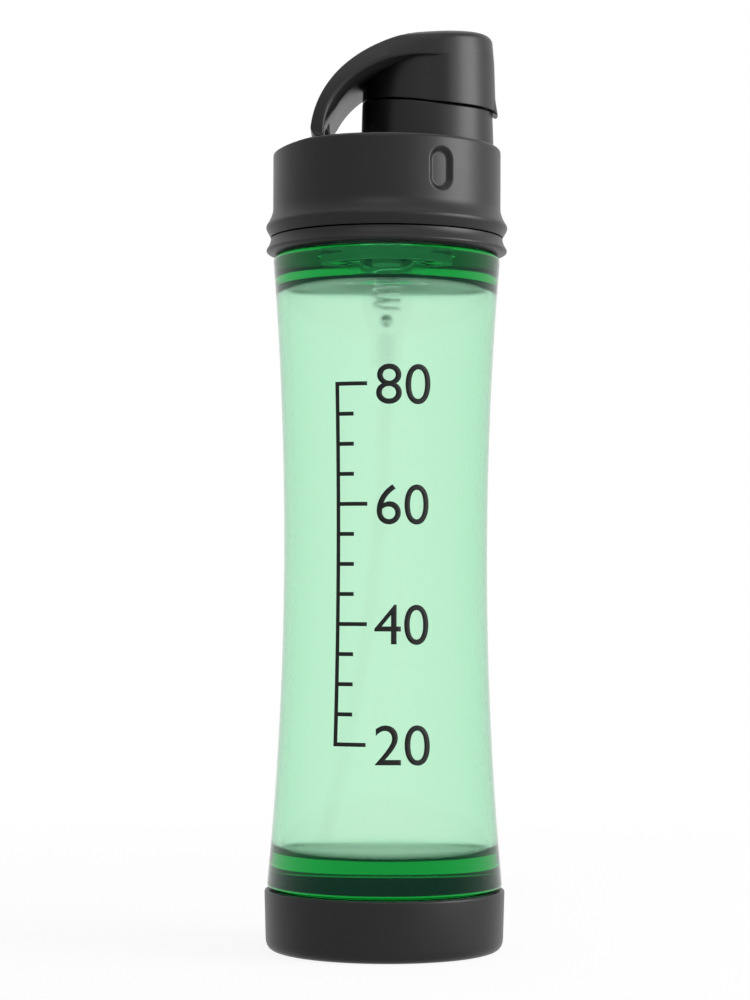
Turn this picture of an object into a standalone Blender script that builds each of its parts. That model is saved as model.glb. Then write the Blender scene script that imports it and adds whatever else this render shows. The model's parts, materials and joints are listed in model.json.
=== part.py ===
"""Glass spray bottle styled as a sports bottle: boot, waisted glass, crimped pump, lid and flip cover.

Metres, +Z up. The origin is on the bottle's axis, on the surface that it stands on. The spout is towards +X.
"""

import math

import bmesh
import bpy
import numpy as np
from mathutils import Matrix, Vector

# Fits
FIT_GAP = 0.0003
ROUND_SIDES = 40
SMALL_SIDES = 20

# Base boot and its pad
BOOT_RADIUS = 0.0217
BOOT_TAPER = 0.0003
BOOT_HEIGHT = 0.0110
BOOT_EDGE = 0.0020
BOOT_WALL = 0.0016
BOOT_FLOOR = 0.0016
BOOT_LIP = 0.0004
FOOT_RING = 0.0060
FOOT_RECESS = 0.0006
PAD_THICKNESS = 0.0008
PAD_MARGIN = 0.0020

# Glass
HEEL_RADIUS = 0.0213
HEEL_EDGE = 0.0006
WAIST_RADIUS = 0.0184
WAIST_HEIGHT = 0.0715
SHOULDER_RADIUS = 0.0206
SHOULDER_HEIGHT = 0.1249
SHOULDER_EDGE = 0.0012
GLASS_WALL = 0.0017
GLASS_BASE = 0.0145
SHOULDER_THICKNESS = 0.0048
CAVITY_EDGE = 0.0030
NECK_HEIGHT = 0.0081
NECK_RADIUS = 0.0064
NECK_LIP = 0.0073
NECK_LIP_HEIGHT = 0.0036
NECK_BORE = 0.0049

# Pump
GASKET_THICKNESS = 0.0007
FLANGE_THICKNESS = 0.0008
FERRULE_SHEET = 0.0005
HOUSING_RADIUS = 0.0045
CHAMBER_RADIUS = 0.0030
TURRET_HEIGHT = 0.0044
TURRET_WALL = 0.0016
SEAL_THICKNESS = 0.0008
PISTON_HEIGHT = 0.0036
STEM_RADIUS = 0.0017
STEM_BORE = 0.0006
STEM_FLANGE = 0.0012
SPRING_LENGTH = 0.0080
SPRING_WIRE = 0.0006
SPRING_TURNS = 5
SPRING_POINTS = 10
BALL_RADIUS = 0.0012
BALL_LIFT = 0.0006
INLET_RADIUS = 0.0007
INLET_LENGTH = 0.0008
TUBE_RADIUS = 0.0015
TUBE_BORE = 0.0009
TUBE_SOCKET = 0.0060
TUBE_SOCKET_WALL = 0.0012
TUBE_FLOOR_GAP = 0.0020
TUBE_LEAN = 0.0110
TUBE_SIDES = 12
PRESS_STROKE = 0.0030
PRESS_MARGIN = 0.0006

# Collar and lid
BEAD_RADIUS = 0.0220
BEAD_FULLNESS = 0.7
GROOVE_RADIUS = 0.0210
COLLAR_HEIGHT = 0.0032
SPIGOT_WALL = 0.0014
INSERT_FLOOR = 0.0014
HUB_WALL = 0.0012
LID_RADIUS = 0.0206
LID_WALL = 0.0015
LID_HEIGHT = 0.0160
LID_BEAD_HEIGHT = 0.0041
LID_EDGE = 0.0007
DECK_THICKNESS = 0.0016
DECK_SLOPE = math.radians(15)
DECK_STEP = 0.00035
DIMPLE_WIDTH = 0.0049
DIMPLE_LENGTH = 0.0083
DIMPLE_DEPTH = 0.0009
DIMPLE_ANGLE = math.radians(62.6)
DIMPLE_HEIGHT = 0.0100

# Spout and actuator
SPOUT_X = 0.0073
SPOUT_RADIUS = 0.0120
SPOUT_TAPER = 0.0002
SPOUT_WALL = 0.0014
SPOUT_HEIGHT = 0.0071
SEAM_SLOPE = math.tan(math.radians(7))
HEAD_RADIUS = 0.0090
HEAD_RISE = 0.0047
HEAD_EDGE = 0.0006
HEAD_DISH = 0.0006
DISH_MIDDLE = 0.7
PLUG_DROP = 0.0036
PLUG_WALL = 0.0014
PLUG_ROOF = 0.0022
SOCKET_DEPTH = 0.0036
SOCKET_WALL = 0.0008
CHANNEL_RADIUS = 0.0006
CHANNEL_SIDES = 8
CROSS_RADIUS = 0.00054
NOZZLE_RADIUS = 0.0013
NOZZLE_LENGTH = 0.0019
NOZZLE_DROP = 0.0023
NOZZLE_ORIFICE = 0.0003

# Flip cover, strap and hinge
COVER_RISE = 0.0189
COVER_REACH = 0.0210
COVER_EDGE = 0.0030
ARCH_RISE = 0.0151
ARCH_REACH = 0.0179
SKIRT_RADIUS = 0.0124
SKIRT_TAPER = 0.0003
SKIRT_WALL = 0.0013
CROWN_RADIUS = 0.0121
FOOT_HALF_WIDTH = 0.0148
HEAD_CLEARANCE = 0.0016
HINGE_RISE = 0.0019
KNUCKLE_LENGTH = 0.0140
KNUCKLE_WEB = 0.8
PIN_RADIUS = 0.0006
PIN_SKIN = 0.0010
TAB_HALF_WIDTH = 0.0030
TAB_STAND = 0.0004
TAB_ABOVE = 0.0022
TAB_BELOW = 0.0006

# Heights, stacked from the surface upwards
GLASS_BOTTOM = BOOT_FLOOR + FIT_GAP + PAD_THICKNESS + FIT_GAP
HEEL_HEIGHT = BOOT_HEIGHT + FIT_GAP
CAVITY_FLOOR = GLASS_BOTTOM + GLASS_BASE
CAVITY_TOP = SHOULDER_HEIGHT - SHOULDER_THICKNESS
NECK_TOP = SHOULDER_HEIGHT + NECK_HEIGHT
LIP_BOTTOM = NECK_TOP - NECK_LIP_HEIGHT
GASKET_TOP = NECK_TOP + FIT_GAP + GASKET_THICKNESS
FLANGE_TOP = GASKET_TOP + FIT_GAP + FLANGE_THICKNESS
FERRULE_TOP = FLANGE_TOP + FIT_GAP + FERRULE_SHEET
COLLAR_BOTTOM = SHOULDER_HEIGHT + FIT_GAP
COLLAR_TOP = COLLAR_BOTTOM + COLLAR_HEIGHT
LID_BOTTOM = COLLAR_TOP + FIT_GAP
DECK_TOP = LID_BOTTOM + LID_HEIGHT
DECK_UNDER = DECK_TOP - DECK_THICKNESS
SPIGOT_TOP = FERRULE_TOP - FIT_GAP
SEAM_HEIGHT = DECK_TOP + SPOUT_HEIGHT
PLUG_BOTTOM = FERRULE_TOP + PRESS_STROKE + PRESS_MARGIN
PLUG_TOP = SEAM_HEIGHT - PLUG_DROP
HEAD_TOP = SEAM_HEIGHT + HEAD_RISE
NOZZLE_HEIGHT = HEAD_TOP - NOZZLE_DROP
COVER_TOP = DECK_TOP + COVER_RISE
ARCH_TOP = DECK_TOP + ARCH_RISE
CEILING = HEAD_TOP + HEAD_CLEARANCE
HINGE_HEIGHT = DECK_TOP + HINGE_RISE

# Pump heights, stacked downwards from the housing's flange
TURRET_TOP = FLANGE_TOP - FIT_GAP
TURRET_BOTTOM = TURRET_TOP - TURRET_HEIGHT
SEAL_TOP = TURRET_BOTTOM - FIT_GAP
PISTON_TOP = SEAL_TOP - SEAL_THICKNESS - FIT_GAP
PISTON_BOTTOM = PISTON_TOP - PISTON_HEIGHT
STEM_FLANGE_TOP = PISTON_BOTTOM - FIT_GAP
STEM_BOTTOM = STEM_FLANGE_TOP - STEM_FLANGE
STEM_TOP = PLUG_BOTTOM + SOCKET_DEPTH - FIT_GAP
SPRING_TOP = STEM_BOTTOM - FIT_GAP
SPRING_BOTTOM = SPRING_TOP - SPRING_LENGTH
CHAMBER_FLOOR = SPRING_BOTTOM - FIT_GAP
POCKET_RADIUS = BALL_RADIUS + FIT_GAP
POCKET_DEPTH = 2 * BALL_RADIUS + BALL_LIFT
SEAT_BOTTOM = CHAMBER_FLOOR - POCKET_DEPTH
SEAT_TOP = SEAT_BOTTOM + POCKET_RADIUS - INLET_RADIUS
BALL_HEIGHT = SEAT_BOTTOM + math.sqrt(2) * (BALL_RADIUS + FIT_GAP) - INLET_RADIUS
SOCKET_TOP = SEAT_BOTTOM - INLET_LENGTH
SOCKET_BOTTOM = SOCKET_TOP - TUBE_SOCKET

# Radii that follow from their neighbours
HEEL_PLUG = BOOT_RADIUS - BOOT_TAPER - BOOT_WALL - FIT_GAP
FERRULE_RADIUS = NECK_LIP + FIT_GAP + FERRULE_SHEET
HUB_RADIUS = FERRULE_RADIUS + FIT_GAP
LID_BORE = LID_RADIUS - LID_WALL
STEM_HOLE = STEM_RADIUS + FIT_GAP
TUBE_HOLE = TUBE_RADIUS + FIT_GAP
TURRET_RADIUS = STEM_HOLE + TURRET_WALL
SPOUT_BORE = SPOUT_RADIUS - SPOUT_WALL
PLUG_RADIUS = SPOUT_BORE - FIT_GAP
SPIGOT_RADIUS = SPOUT_X + PLUG_RADIUS
SKIRT_BORE = SKIRT_RADIUS - SKIRT_WALL


def ellipse_x(reach, rise, height):
    """Where an arch's quarter ellipse, centred on the spout's axis at deck level, is at this height."""
    return SPOUT_X - reach * math.sqrt(1 - ((height - DECK_TOP) / rise) ** 2)


FOOT_OUTER = ellipse_x(COVER_REACH, COVER_RISE, HINGE_HEIGHT)
FOOT_INNER = ellipse_x(ARCH_REACH, ARCH_RISE, HINGE_HEIGHT)
HINGE_X = (FOOT_OUTER + FOOT_INNER) / 2
BARREL_RADIUS = (FOOT_INNER - FOOT_OUTER) / 2
DECK_BREAK = HINGE_X - BARREL_RADIUS - FIT_GAP


def finish(name, colour, roughness, metallic=0.0, transmission=0.0):
    material = bpy.data.materials.new(name)
    material.use_nodes = True
    shader = material.node_tree.nodes["Principled BSDF"]
    shader.inputs["Base Color"].default_value = (*colour, 1.0)
    shader.inputs["Roughness"].default_value = roughness
    shader.inputs["Metallic"].default_value = metallic
    shader.inputs["Transmission Weight"].default_value = transmission
    return material


def add_object(name, mesh, material=None):
    piece = bpy.data.objects.new(name, mesh)
    bpy.context.scene.collection.objects.link(piece)
    if material:
        mesh.materials.append(material)
    else:
        piece.hide_render = True
        piece.display_type = "WIRE"
    return piece


def mesh_from(name, bm):
    bmesh.ops.recalc_face_normals(bm, faces=bm.faces)
    mesh = bpy.data.meshes.new(name)
    bm.to_mesh(mesh)
    bm.free()
    mesh.shade_smooth()
    mesh.set_sharp_from_angle(angle=math.radians(35))
    return mesh


def turned(name, profile, material=None, sides=ROUND_SIDES, x=0.0):
    """Turns a profile of (radius, height) about the upright line at x, closed unless it ends on that line."""
    bm = bmesh.new()
    points = [bm.verts.new((radius, 0, height)) for radius, height in profile]
    open_ended = profile[0][0] == 0 and profile[-1][0] == 0
    ends = points[1:] if open_ended else points[1:] + points[:1]
    for start, end in zip(points, ends):
        bm.edges.new((start, end))
    bmesh.ops.spin(
        bm,
        geom=bm.verts[:] + bm.edges[:],
        cent=(0, 0, 0),
        axis=(0, 0, 1),
        angle=math.tau,
        steps=sides,
        use_merge=True,
    )
    bmesh.ops.remove_doubles(bm, verts=bm.verts, dist=1e-6)
    piece = add_object(name, mesh_from(name, bm), material)
    piece.location.x = x
    return piece


def arc(radius, height, size, start, end, steps):
    """Points of a circle in a profile, with the angles in degrees from the outward direction."""
    angles = [math.radians(start + (end - start) * i / steps) for i in range(steps + 1)]
    return [(radius + size * math.cos(a), height + size * math.sin(a)) for a in angles]


def lofted(name, rings, material=None):
    """A solid through rings of equally many points, with flat caps."""
    bm = bmesh.new()
    loops = [[bm.verts.new(point) for point in ring] for ring in rings]
    count = len(loops[0])
    for lower, upper in zip(loops, loops[1:]):
        for i in range(count):
            j = (i + 1) % count
            bm.faces.new((lower[i], lower[j], upper[j], upper[i]))
    bm.faces.new(loops[0])
    bm.faces.new(loops[-1])
    return add_object(name, mesh_from(name, bm), material)


def round_ring(x, radius, height, sides=ROUND_SIDES):
    """A circle about the upright line at x, whose height is a function of the distance along X."""
    angles = [math.tau * i / sides for i in range(sides)]
    points = [(x + radius * math.cos(a), radius * math.sin(a)) for a in angles]
    return [(px, py, height(px)) for px, py in points]


def rod(name, start, end, radius, sides=SMALL_SIDES, material=None):
    """A round rod between two points."""
    axis = Vector(end) - Vector(start)
    turn = axis.to_track_quat("Z", "Y").to_matrix().to_4x4()
    place = Matrix.Translation((Vector(start) + Vector(end)) / 2) @ turn
    bm = bmesh.new()
    bmesh.ops.create_cone(
        bm,
        cap_ends=True,
        segments=sides,
        radius1=radius,
        radius2=radius,
        depth=axis.length,
        matrix=place,
    )
    return add_object(name, mesh_from(name, bm), material)


def block(name, low, high):
    """An upright box between two corners, used as a tool."""
    size = Vector(high) - Vector(low)
    middle = (Vector(high) + Vector(low)) / 2
    bm = bmesh.new()
    bmesh.ops.create_cube(bm, size=1, matrix=Matrix.Translation(middle) @ Matrix.Diagonal(size).to_4x4())
    return add_object(name, mesh_from(name, bm))


def combine(piece, operation, *tools):
    for tool in tools:
        modifier = piece.modifiers.new(tool.name, "BOOLEAN")
        modifier.operation = operation
        modifier.solver = "EXACT"
        modifier.object = tool


def glass_radius(height):
    """Outer radius of the glass: a parabola from the waist up to the shoulder, and one down to the heel."""
    above = height >= WAIST_HEIGHT
    end_height, end_radius = (SHOULDER_HEIGHT, SHOULDER_RADIUS) if above else (HEEL_HEIGHT, HEEL_RADIUS)
    share = (height - WAIST_HEIGHT) / (end_height - WAIST_HEIGHT)
    return WAIST_RADIUS + (end_radius - WAIST_RADIUS) * share**2


def spaced(start, end, steps):
    return [start + (end - start) * i / steps for i in range(steps + 1)]


def seam(x):
    """Height of the slanted parting plane between the spout and the flip cover."""
    return SEAM_HEIGHT - SEAM_SLOPE * (x - SPOUT_X)


def make_boot(black):
    bottom = BOOT_RADIUS - BOOT_TAPER
    inside = HEEL_PLUG + FIT_GAP
    ring = bottom - BOOT_EDGE - FOOT_RING
    profile = [(0, BOOT_FLOOR), (inside, BOOT_FLOOR), (inside, BOOT_HEIGHT)]
    profile += arc(BOOT_RADIUS - BOOT_LIP, BOOT_HEIGHT - BOOT_LIP, BOOT_LIP, 90, 0, 2)
    profile += arc(bottom - BOOT_EDGE, BOOT_EDGE, BOOT_EDGE, 0, -90, 4)
    profile += [(ring, 0), (ring - FOOT_RECESS, FOOT_RECESS), (0, FOOT_RECESS)]
    return turned("base_boot", profile, black)


def make_pad(foam):
    bottom = BOOT_FLOOR + FIT_GAP
    top = bottom + PAD_THICKNESS
    radius = HEEL_PLUG - PAD_MARGIN
    return turned("base_pad", [(0, top), (radius, top), (radius, bottom), (0, bottom)], foam)


def make_glass(glass):
    inner_top = CAVITY_TOP - CAVITY_EDGE
    inner_low = CAVITY_FLOOR + CAVITY_EDGE
    wall = [(glass_radius(z) - GLASS_WALL, z) for z in spaced(inner_low, inner_top, 8)]
    floor_edge = wall[0][0] - CAVITY_EDGE
    roof_edge = wall[-1][0] - CAVITY_EDGE
    inside = [(0, CAVITY_FLOOR)] + arc(floor_edge, inner_low, CAVITY_EDGE, -90, 0, 4)[:-1] + wall
    inside += arc(roof_edge, inner_top, CAVITY_EDGE, 0, 90, 4)[1:]
    chamfer = NECK_LIP - NECK_BORE
    neck = [(NECK_BORE, CAVITY_TOP + SHOULDER_THICKNESS / 4), (NECK_BORE, NECK_TOP)]
    neck += [(NECK_LIP - chamfer / 6, NECK_TOP), (NECK_LIP, NECK_TOP - chamfer / 6)]
    neck += [(NECK_LIP, LIP_BOTTOM), (NECK_RADIUS, LIP_BOTTOM - (NECK_LIP - NECK_RADIUS))]
    neck += [(NECK_RADIUS, SHOULDER_HEIGHT)]
    edge_height = SHOULDER_HEIGHT - SHOULDER_EDGE
    outside = arc(glass_radius(edge_height) - SHOULDER_EDGE, edge_height, SHOULDER_EDGE, 90, 0, 4)[:-1]
    outside += [(glass_radius(z), z) for z in spaced(edge_height, HEEL_HEIGHT + HEEL_EDGE, 14)]
    outside += arc(outside[-1][0] - HEEL_EDGE, HEEL_HEIGHT + HEEL_EDGE, HEEL_EDGE, 0, -90, 2)[1:]
    outside += [(HEEL_PLUG, HEEL_HEIGHT), (HEEL_PLUG, GLASS_BOTTOM + HEEL_EDGE)]
    outside += [(HEEL_PLUG - HEEL_EDGE, GLASS_BOTTOM), (0, GLASS_BOTTOM)]
    return turned("glass_bottle", inside + neck + outside, glass)


def bead(low, high, root_low, root_high, steps=6):
    """A rounded bead between two heights, from the root radius below out to the bead and back in above."""
    points = []
    for i in range(steps + 1):
        share = i / steps
        root = root_low + (root_high - root_low) * share
        swell = math.sin(math.pi * share) ** BEAD_FULLNESS
        points.append((root + (BEAD_RADIUS - root) * swell, low + (high - low) * share))
    return points


def make_collar(black):
    inner = SPIGOT_RADIUS + FIT_GAP
    profile = [(inner, COLLAR_BOTTOM)] + bead(COLLAR_BOTTOM, COLLAR_TOP, SHOULDER_RADIUS, GROOVE_RADIUS)
    profile += [(inner, COLLAR_TOP)]
    return turned("collar_ring", profile, black)


def make_insert(black):
    inner = SPIGOT_RADIUS - SPIGOT_WALL
    floor = COLLAR_BOTTOM + INSERT_FLOOR
    hub = HUB_RADIUS + HUB_WALL
    profile = [(inner, SPIGOT_TOP), (SPIGOT_RADIUS, SPIGOT_TOP), (SPIGOT_RADIUS, COLLAR_BOTTOM)]
    profile += [(HUB_RADIUS, COLLAR_BOTTOM), (HUB_RADIUS, NECK_TOP)]
    profile += [(hub, NECK_TOP), (hub, floor), (inner, floor)]
    return turned("collar_insert", profile, black)


def make_ferrule(aluminium):
    inner = NECK_LIP + FIT_GAP
    crimp = NECK_RADIUS + FIT_GAP
    under = FERRULE_TOP - FERRULE_SHEET
    hole = STEM_HOLE + FERRULE_SHEET
    shoulder = LIP_BOTTOM - FIT_GAP
    turn_in = shoulder - (inner - crimp)
    hem = turn_in - FERRULE_SHEET
    profile = [(hole, FERRULE_TOP), (FERRULE_RADIUS - FERRULE_SHEET, FERRULE_TOP)]
    profile += [(FERRULE_RADIUS, under), (FERRULE_RADIUS, shoulder), (crimp + FERRULE_SHEET, hem)]
    profile += [(crimp, hem), (crimp, turn_in), (inner, shoulder), (inner, under), (hole, under)]
    return turned("crimp_ferrule", profile, aluminium)


def make_gasket(rubber):
    bottom = NECK_TOP + FIT_GAP
    inner = HOUSING_RADIUS + FIT_GAP
    outer = NECK_LIP - FIT_GAP
    profile = [(inner, GASKET_TOP), (outer, GASKET_TOP), (outer, bottom), (inner, bottom)]
    return turned("neck_gasket", profile, rubber, SMALL_SIDES)


def make_housing(white):
    flange = NECK_LIP - FIT_GAP
    under = FLANGE_TOP - FLANGE_THICKNESS
    counterbore = TURRET_RADIUS + FIT_GAP
    tail = TUBE_HOLE + TUBE_SOCKET_WALL
    profile = [(counterbore, FLANGE_TOP), (flange, FLANGE_TOP), (flange, under), (HOUSING_RADIUS, under)]
    profile += [(HOUSING_RADIUS, CHAMBER_FLOOR), (tail, SEAT_BOTTOM), (tail, SOCKET_BOTTOM)]
    profile += [(TUBE_HOLE, SOCKET_BOTTOM), (TUBE_HOLE, SOCKET_TOP), (INLET_RADIUS, SOCKET_TOP)]
    profile += [(INLET_RADIUS, SEAT_BOTTOM), (POCKET_RADIUS, SEAT_TOP), (POCKET_RADIUS, CHAMBER_FLOOR)]
    profile += [(CHAMBER_RADIUS, CHAMBER_FLOOR), (CHAMBER_RADIUS, SEAL_TOP), (counterbore, SEAL_TOP)]
    return turned("pump_housing", profile, white, SMALL_SIDES)


def make_turret(white):
    profile = [(STEM_HOLE, TURRET_TOP), (TURRET_RADIUS, TURRET_TOP)]
    profile += [(TURRET_RADIUS, TURRET_BOTTOM), (STEM_HOLE, TURRET_BOTTOM)]
    return turned("pump_turret", profile, white, SMALL_SIDES)


def make_seal(rubber):
    outer = CHAMBER_RADIUS - FIT_GAP
    bottom = SEAL_TOP - SEAL_THICKNESS
    top = SEAL_TOP
    profile = [(STEM_HOLE, top), (outer, top), (outer, bottom), (STEM_HOLE, bottom)]
    return turned("stem_seal", profile, rubber, SMALL_SIDES)


def make_piston(white):
    outer = CHAMBER_RADIUS - FIT_GAP
    waist = (outer + STEM_HOLE) / 2
    lip = PISTON_HEIGHT / 4
    slope = lip / 2
    profile = [(STEM_HOLE, PISTON_TOP), (outer, PISTON_TOP), (outer, PISTON_TOP - lip)]
    profile += [(waist, PISTON_TOP - lip - slope), (waist, PISTON_BOTTOM + lip + slope)]
    profile += [(outer, PISTON_BOTTOM + lip), (outer, PISTON_BOTTOM), (STEM_HOLE, PISTON_BOTTOM)]
    return turned("pump_piston", profile, white, SMALL_SIDES)


def make_stem(white):
    flange = CHAMBER_RADIUS - FIT_GAP
    profile = [(STEM_BORE, STEM_TOP), (STEM_RADIUS, STEM_TOP), (STEM_RADIUS, STEM_FLANGE_TOP)]
    profile += [(flange, STEM_FLANGE_TOP), (flange, STEM_BOTTOM), (0, STEM_BOTTOM)]
    profile = [(0, STEM_FLANGE_TOP), (STEM_BORE, STEM_FLANGE_TOP)] + profile
    return turned("pump_stem", profile, white, SMALL_SIDES)


def make_spring(steel):
    """A helix of wire, just inside the chamber."""
    wire = SPRING_WIRE / 2
    radius = CHAMBER_RADIUS - FIT_GAP - wire
    low = SPRING_BOTTOM + wire
    rise = SPRING_LENGTH - SPRING_WIRE
    count = SPRING_TURNS * SPRING_POINTS + 1
    share = np.linspace(0, 1, count)
    angle = share * SPRING_TURNS * math.tau
    points = np.stack((radius * np.cos(angle), radius * np.sin(angle), low + rise * share), axis=1)
    apart = np.linalg.norm(points[:, None] - points[None], axis=2)
    other_turn = np.abs(np.subtract.outer(np.arange(count), np.arange(count))) > SPRING_POINTS / 2
    print(f"return_spring: least gap between turns {1000 * (apart[other_turn].min() - SPRING_WIRE):.2f} mm")
    curve = bpy.data.curves.new("return_spring", "CURVE")
    curve.dimensions = "3D"
    curve.bevel_depth = wire
    curve.bevel_resolution = 1
    curve.use_fill_caps = True
    spline = curve.splines.new("POLY")
    spline.points.add(count - 1)
    for knot, point in zip(spline.points, points):
        knot.co = (*point, 1)
    return add_object("return_spring", curve, steel)


def make_ball(steel):
    bm = bmesh.new()
    bmesh.ops.create_icosphere(bm, subdivisions=2, radius=BALL_RADIUS)
    ball = add_object("inlet_ball", mesh_from("inlet_ball", bm), steel)
    ball.location.z = BALL_HEIGHT
    return ball


def make_tube(clear):
    """A hose that leaves its socket straight down and curls away to the heel, as a wound one does."""
    top = SOCKET_TOP - FIT_GAP
    bottom = CAVITY_FLOOR + TUBE_FLOOR_GAP
    fall = SOCKET_BOTTOM - bottom

    def rings(radius, heights):
        lean = [TUBE_LEAN * (max(SOCKET_BOTTOM - z, 0) / fall) ** 2 for z in heights]
        return [round_ring(-x, radius, lambda _, z=z: z, TUBE_SIDES) for x, z in zip(lean, heights)]

    middle = spaced(SOCKET_BOTTOM, bottom, 10)
    tube = lofted("dip_tube", rings(TUBE_RADIUS, [top] + middle), clear)
    past_ends = [top + TUBE_RADIUS] + middle[:-1] + [bottom - TUBE_RADIUS]
    combine(tube, "DIFFERENCE", lofted("tube_bore", rings(TUBE_BORE, past_ends)))
    return tube


def make_actuator(black):
    """A plug that slides in the spout, with a finger dish on its head and its stem socket off to one side."""
    roof = PLUG_TOP - PLUG_ROOF
    bore = PLUG_RADIUS - PLUG_WALL
    dish_edge = HEAD_RADIUS - 2 * HEAD_EDGE
    dish_middle = HEAD_TOP - DISH_MIDDLE * HEAD_DISH
    profile = [(0, HEAD_TOP - HEAD_DISH), (dish_edge / 2, dish_middle), (dish_edge, HEAD_TOP)]
    profile += arc(HEAD_RADIUS - HEAD_EDGE, HEAD_TOP - HEAD_EDGE, HEAD_EDGE, 90, 0, 3)
    profile += [(HEAD_RADIUS, PLUG_TOP), (PLUG_RADIUS - HEAD_EDGE, PLUG_TOP)]
    profile += [(PLUG_RADIUS, PLUG_TOP - HEAD_EDGE)]
    profile += [(PLUG_RADIUS, PLUG_BOTTOM), (bore, PLUG_BOTTOM), (bore, roof), (0, roof)]
    actuator = turned("actuator", profile, black, x=SPOUT_X)
    boss = STEM_HOLE + SOCKET_WALL
    socket_top = PLUG_BOTTOM + SOCKET_DEPTH
    front = SPOUT_X + HEAD_RADIUS
    channel_end = front - NOZZLE_LENGTH - FIT_GAP
    rise_top = NOZZLE_HEIGHT + 1.5 * CHANNEL_RADIUS
    across_start = (-CHANNEL_RADIUS / 3, 0, NOZZLE_HEIGHT)
    boss_rod = rod("stem_boss", (0, 0, PLUG_BOTTOM + FIT_GAP), (0, 0, roof + PLUG_ROOF / 2), boss)
    socket = rod("stem_socket", (0, 0, PLUG_BOTTOM - boss), (0, 0, socket_top), STEM_HOLE)
    rise_start = (0, 0, socket_top - CHANNEL_RADIUS)
    riser = rod("feed_riser", rise_start, (0, 0, rise_top), CHANNEL_RADIUS, CHANNEL_SIDES)
    across_end = (channel_end + NOZZLE_LENGTH / 2, 0, NOZZLE_HEIGHT)
    across = rod("feed_across", across_start, across_end, CROSS_RADIUS, CHANNEL_SIDES)
    pocket_start = (channel_end, 0, NOZZLE_HEIGHT)
    pocket = rod("nozzle_pocket", pocket_start, (front + boss, 0, NOZZLE_HEIGHT), NOZZLE_RADIUS + FIT_GAP)
    combine(actuator, "UNION", boss_rod)
    combine(actuator, "DIFFERENCE", socket, riser, across, pocket)
    return actuator


def make_nozzle(white):
    """A short plug with a spray orifice, lying along X in the front of the head."""
    cone = NOZZLE_ORIFICE * 2
    profile = [(cone, NOZZLE_LENGTH), (NOZZLE_RADIUS, NOZZLE_LENGTH), (NOZZLE_RADIUS, 0)]
    profile += [(NOZZLE_ORIFICE, 0), (NOZZLE_ORIFICE, NOZZLE_LENGTH - cone)]
    nozzle = turned("nozzle_insert", profile, white, SMALL_SIDES)
    nozzle.rotation_euler.y = math.pi / 2
    nozzle.location = (SPOUT_X + HEAD_RADIUS - NOZZLE_LENGTH, 0, NOZZLE_HEIGHT)
    return nozzle


def pin_bore(name):
    reach = FOOT_HALF_WIDTH - PIN_SKIN
    return rod(name, (HINGE_X, -reach, HINGE_HEIGHT), (HINGE_X, reach, HINGE_HEIGHT), PIN_RADIUS + FIT_GAP)


def make_pin(steel):
    reach = FOOT_HALF_WIDTH - PIN_SKIN - FIT_GAP
    start = (HINGE_X, -reach, HINGE_HEIGHT)
    end = (HINGE_X, reach, HINGE_HEIGHT)
    return rod("hinge_pin", start, end, PIN_RADIUS, material=steel)


def dimple(name, side):
    """An ellipsoid set off from the lid's wall, so that it presses a shallow oval into it."""
    depth_radius = 2.5 * DIMPLE_DEPTH
    spread = 1 / math.sqrt(1 - (1 - DIMPLE_DEPTH / depth_radius) ** 2)
    size = (depth_radius, DIMPLE_WIDTH / 2 * spread, DIMPLE_LENGTH / 2 * spread)
    turn = Matrix.Rotation(side * DIMPLE_ANGLE, 4, "Z")
    away = LID_RADIUS + depth_radius - DIMPLE_DEPTH
    place = turn @ Matrix.Translation((away, 0, LID_BOTTOM + DIMPLE_HEIGHT)) @ Matrix.Diagonal(size).to_4x4()
    bm = bmesh.new()
    bmesh.ops.create_uvsphere(bm, u_segments=16, v_segments=10, radius=1, matrix=place)
    return add_object(name, mesh_from(name, bm))


def make_lid(black):
    """A turned lid with the spout growing from its deck, a sloped rear, a hinge knuckle and two dimples."""
    bead_top = LID_BOTTOM + LID_BEAD_HEIGHT
    chamfer = LID_WALL
    profile = [(0, DECK_TOP)] + arc(LID_RADIUS - LID_EDGE, DECK_TOP - LID_EDGE, LID_EDGE, 90, 0, 3)
    profile += bead(LID_BOTTOM, bead_top, GROOVE_RADIUS, LID_RADIUS)[::-1]
    profile += [(LID_BORE, LID_BOTTOM), (LID_BORE, DECK_UNDER - chamfer)]
    profile += [(LID_BORE - chamfer, DECK_UNDER), (0, DECK_UNDER)]
    lid = turned("lid_shell", profile, black)
    low = DECK_TOP - DECK_THICKNESS / 2
    spout_low = round_ring(SPOUT_X, SPOUT_RADIUS, lambda x: low)
    spout_high = round_ring(SPOUT_X, SPOUT_RADIUS - SPOUT_TAPER, lambda x: seam(x) - FIT_GAP)
    spout = lofted("spout", [spout_low, spout_high])
    bore_low = (SPOUT_X, 0, DECK_UNDER - DECK_THICKNESS)
    bore = rod("spout_bore", bore_low, (SPOUT_X, 0, HEAD_TOP), SPOUT_BORE, ROUND_SIDES)
    slope = block("rear_slope", (-LID_RADIUS, -2 * LID_RADIUS, 0), (0, 2 * LID_RADIUS, LID_HEIGHT))
    slope.rotation_euler.y = -DECK_SLOPE
    slope.location = (DECK_BREAK, 0, DECK_TOP - DECK_STEP)
    half = KNUCKLE_LENGTH / 2
    barrel = rod("knuckle", (HINGE_X, -half, HINGE_HEIGHT), (HINGE_X, half, HINGE_HEIGHT), BARREL_RADIUS)
    web_half = KNUCKLE_WEB * BARREL_RADIUS
    web = block("knuckle_web", (HINGE_X - web_half, -half, low), (HINGE_X + web_half, half, HINGE_HEIGHT))
    combine(lid, "UNION", spout)
    combine(lid, "DIFFERENCE", bore, slope)
    combine(lid, "UNION", web, barrel)
    combine(lid, "DIFFERENCE", pin_bore("lid_pin_bore"), dimple("near_dimple", -1), dimple("far_dimple", 1))
    return lid


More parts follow.
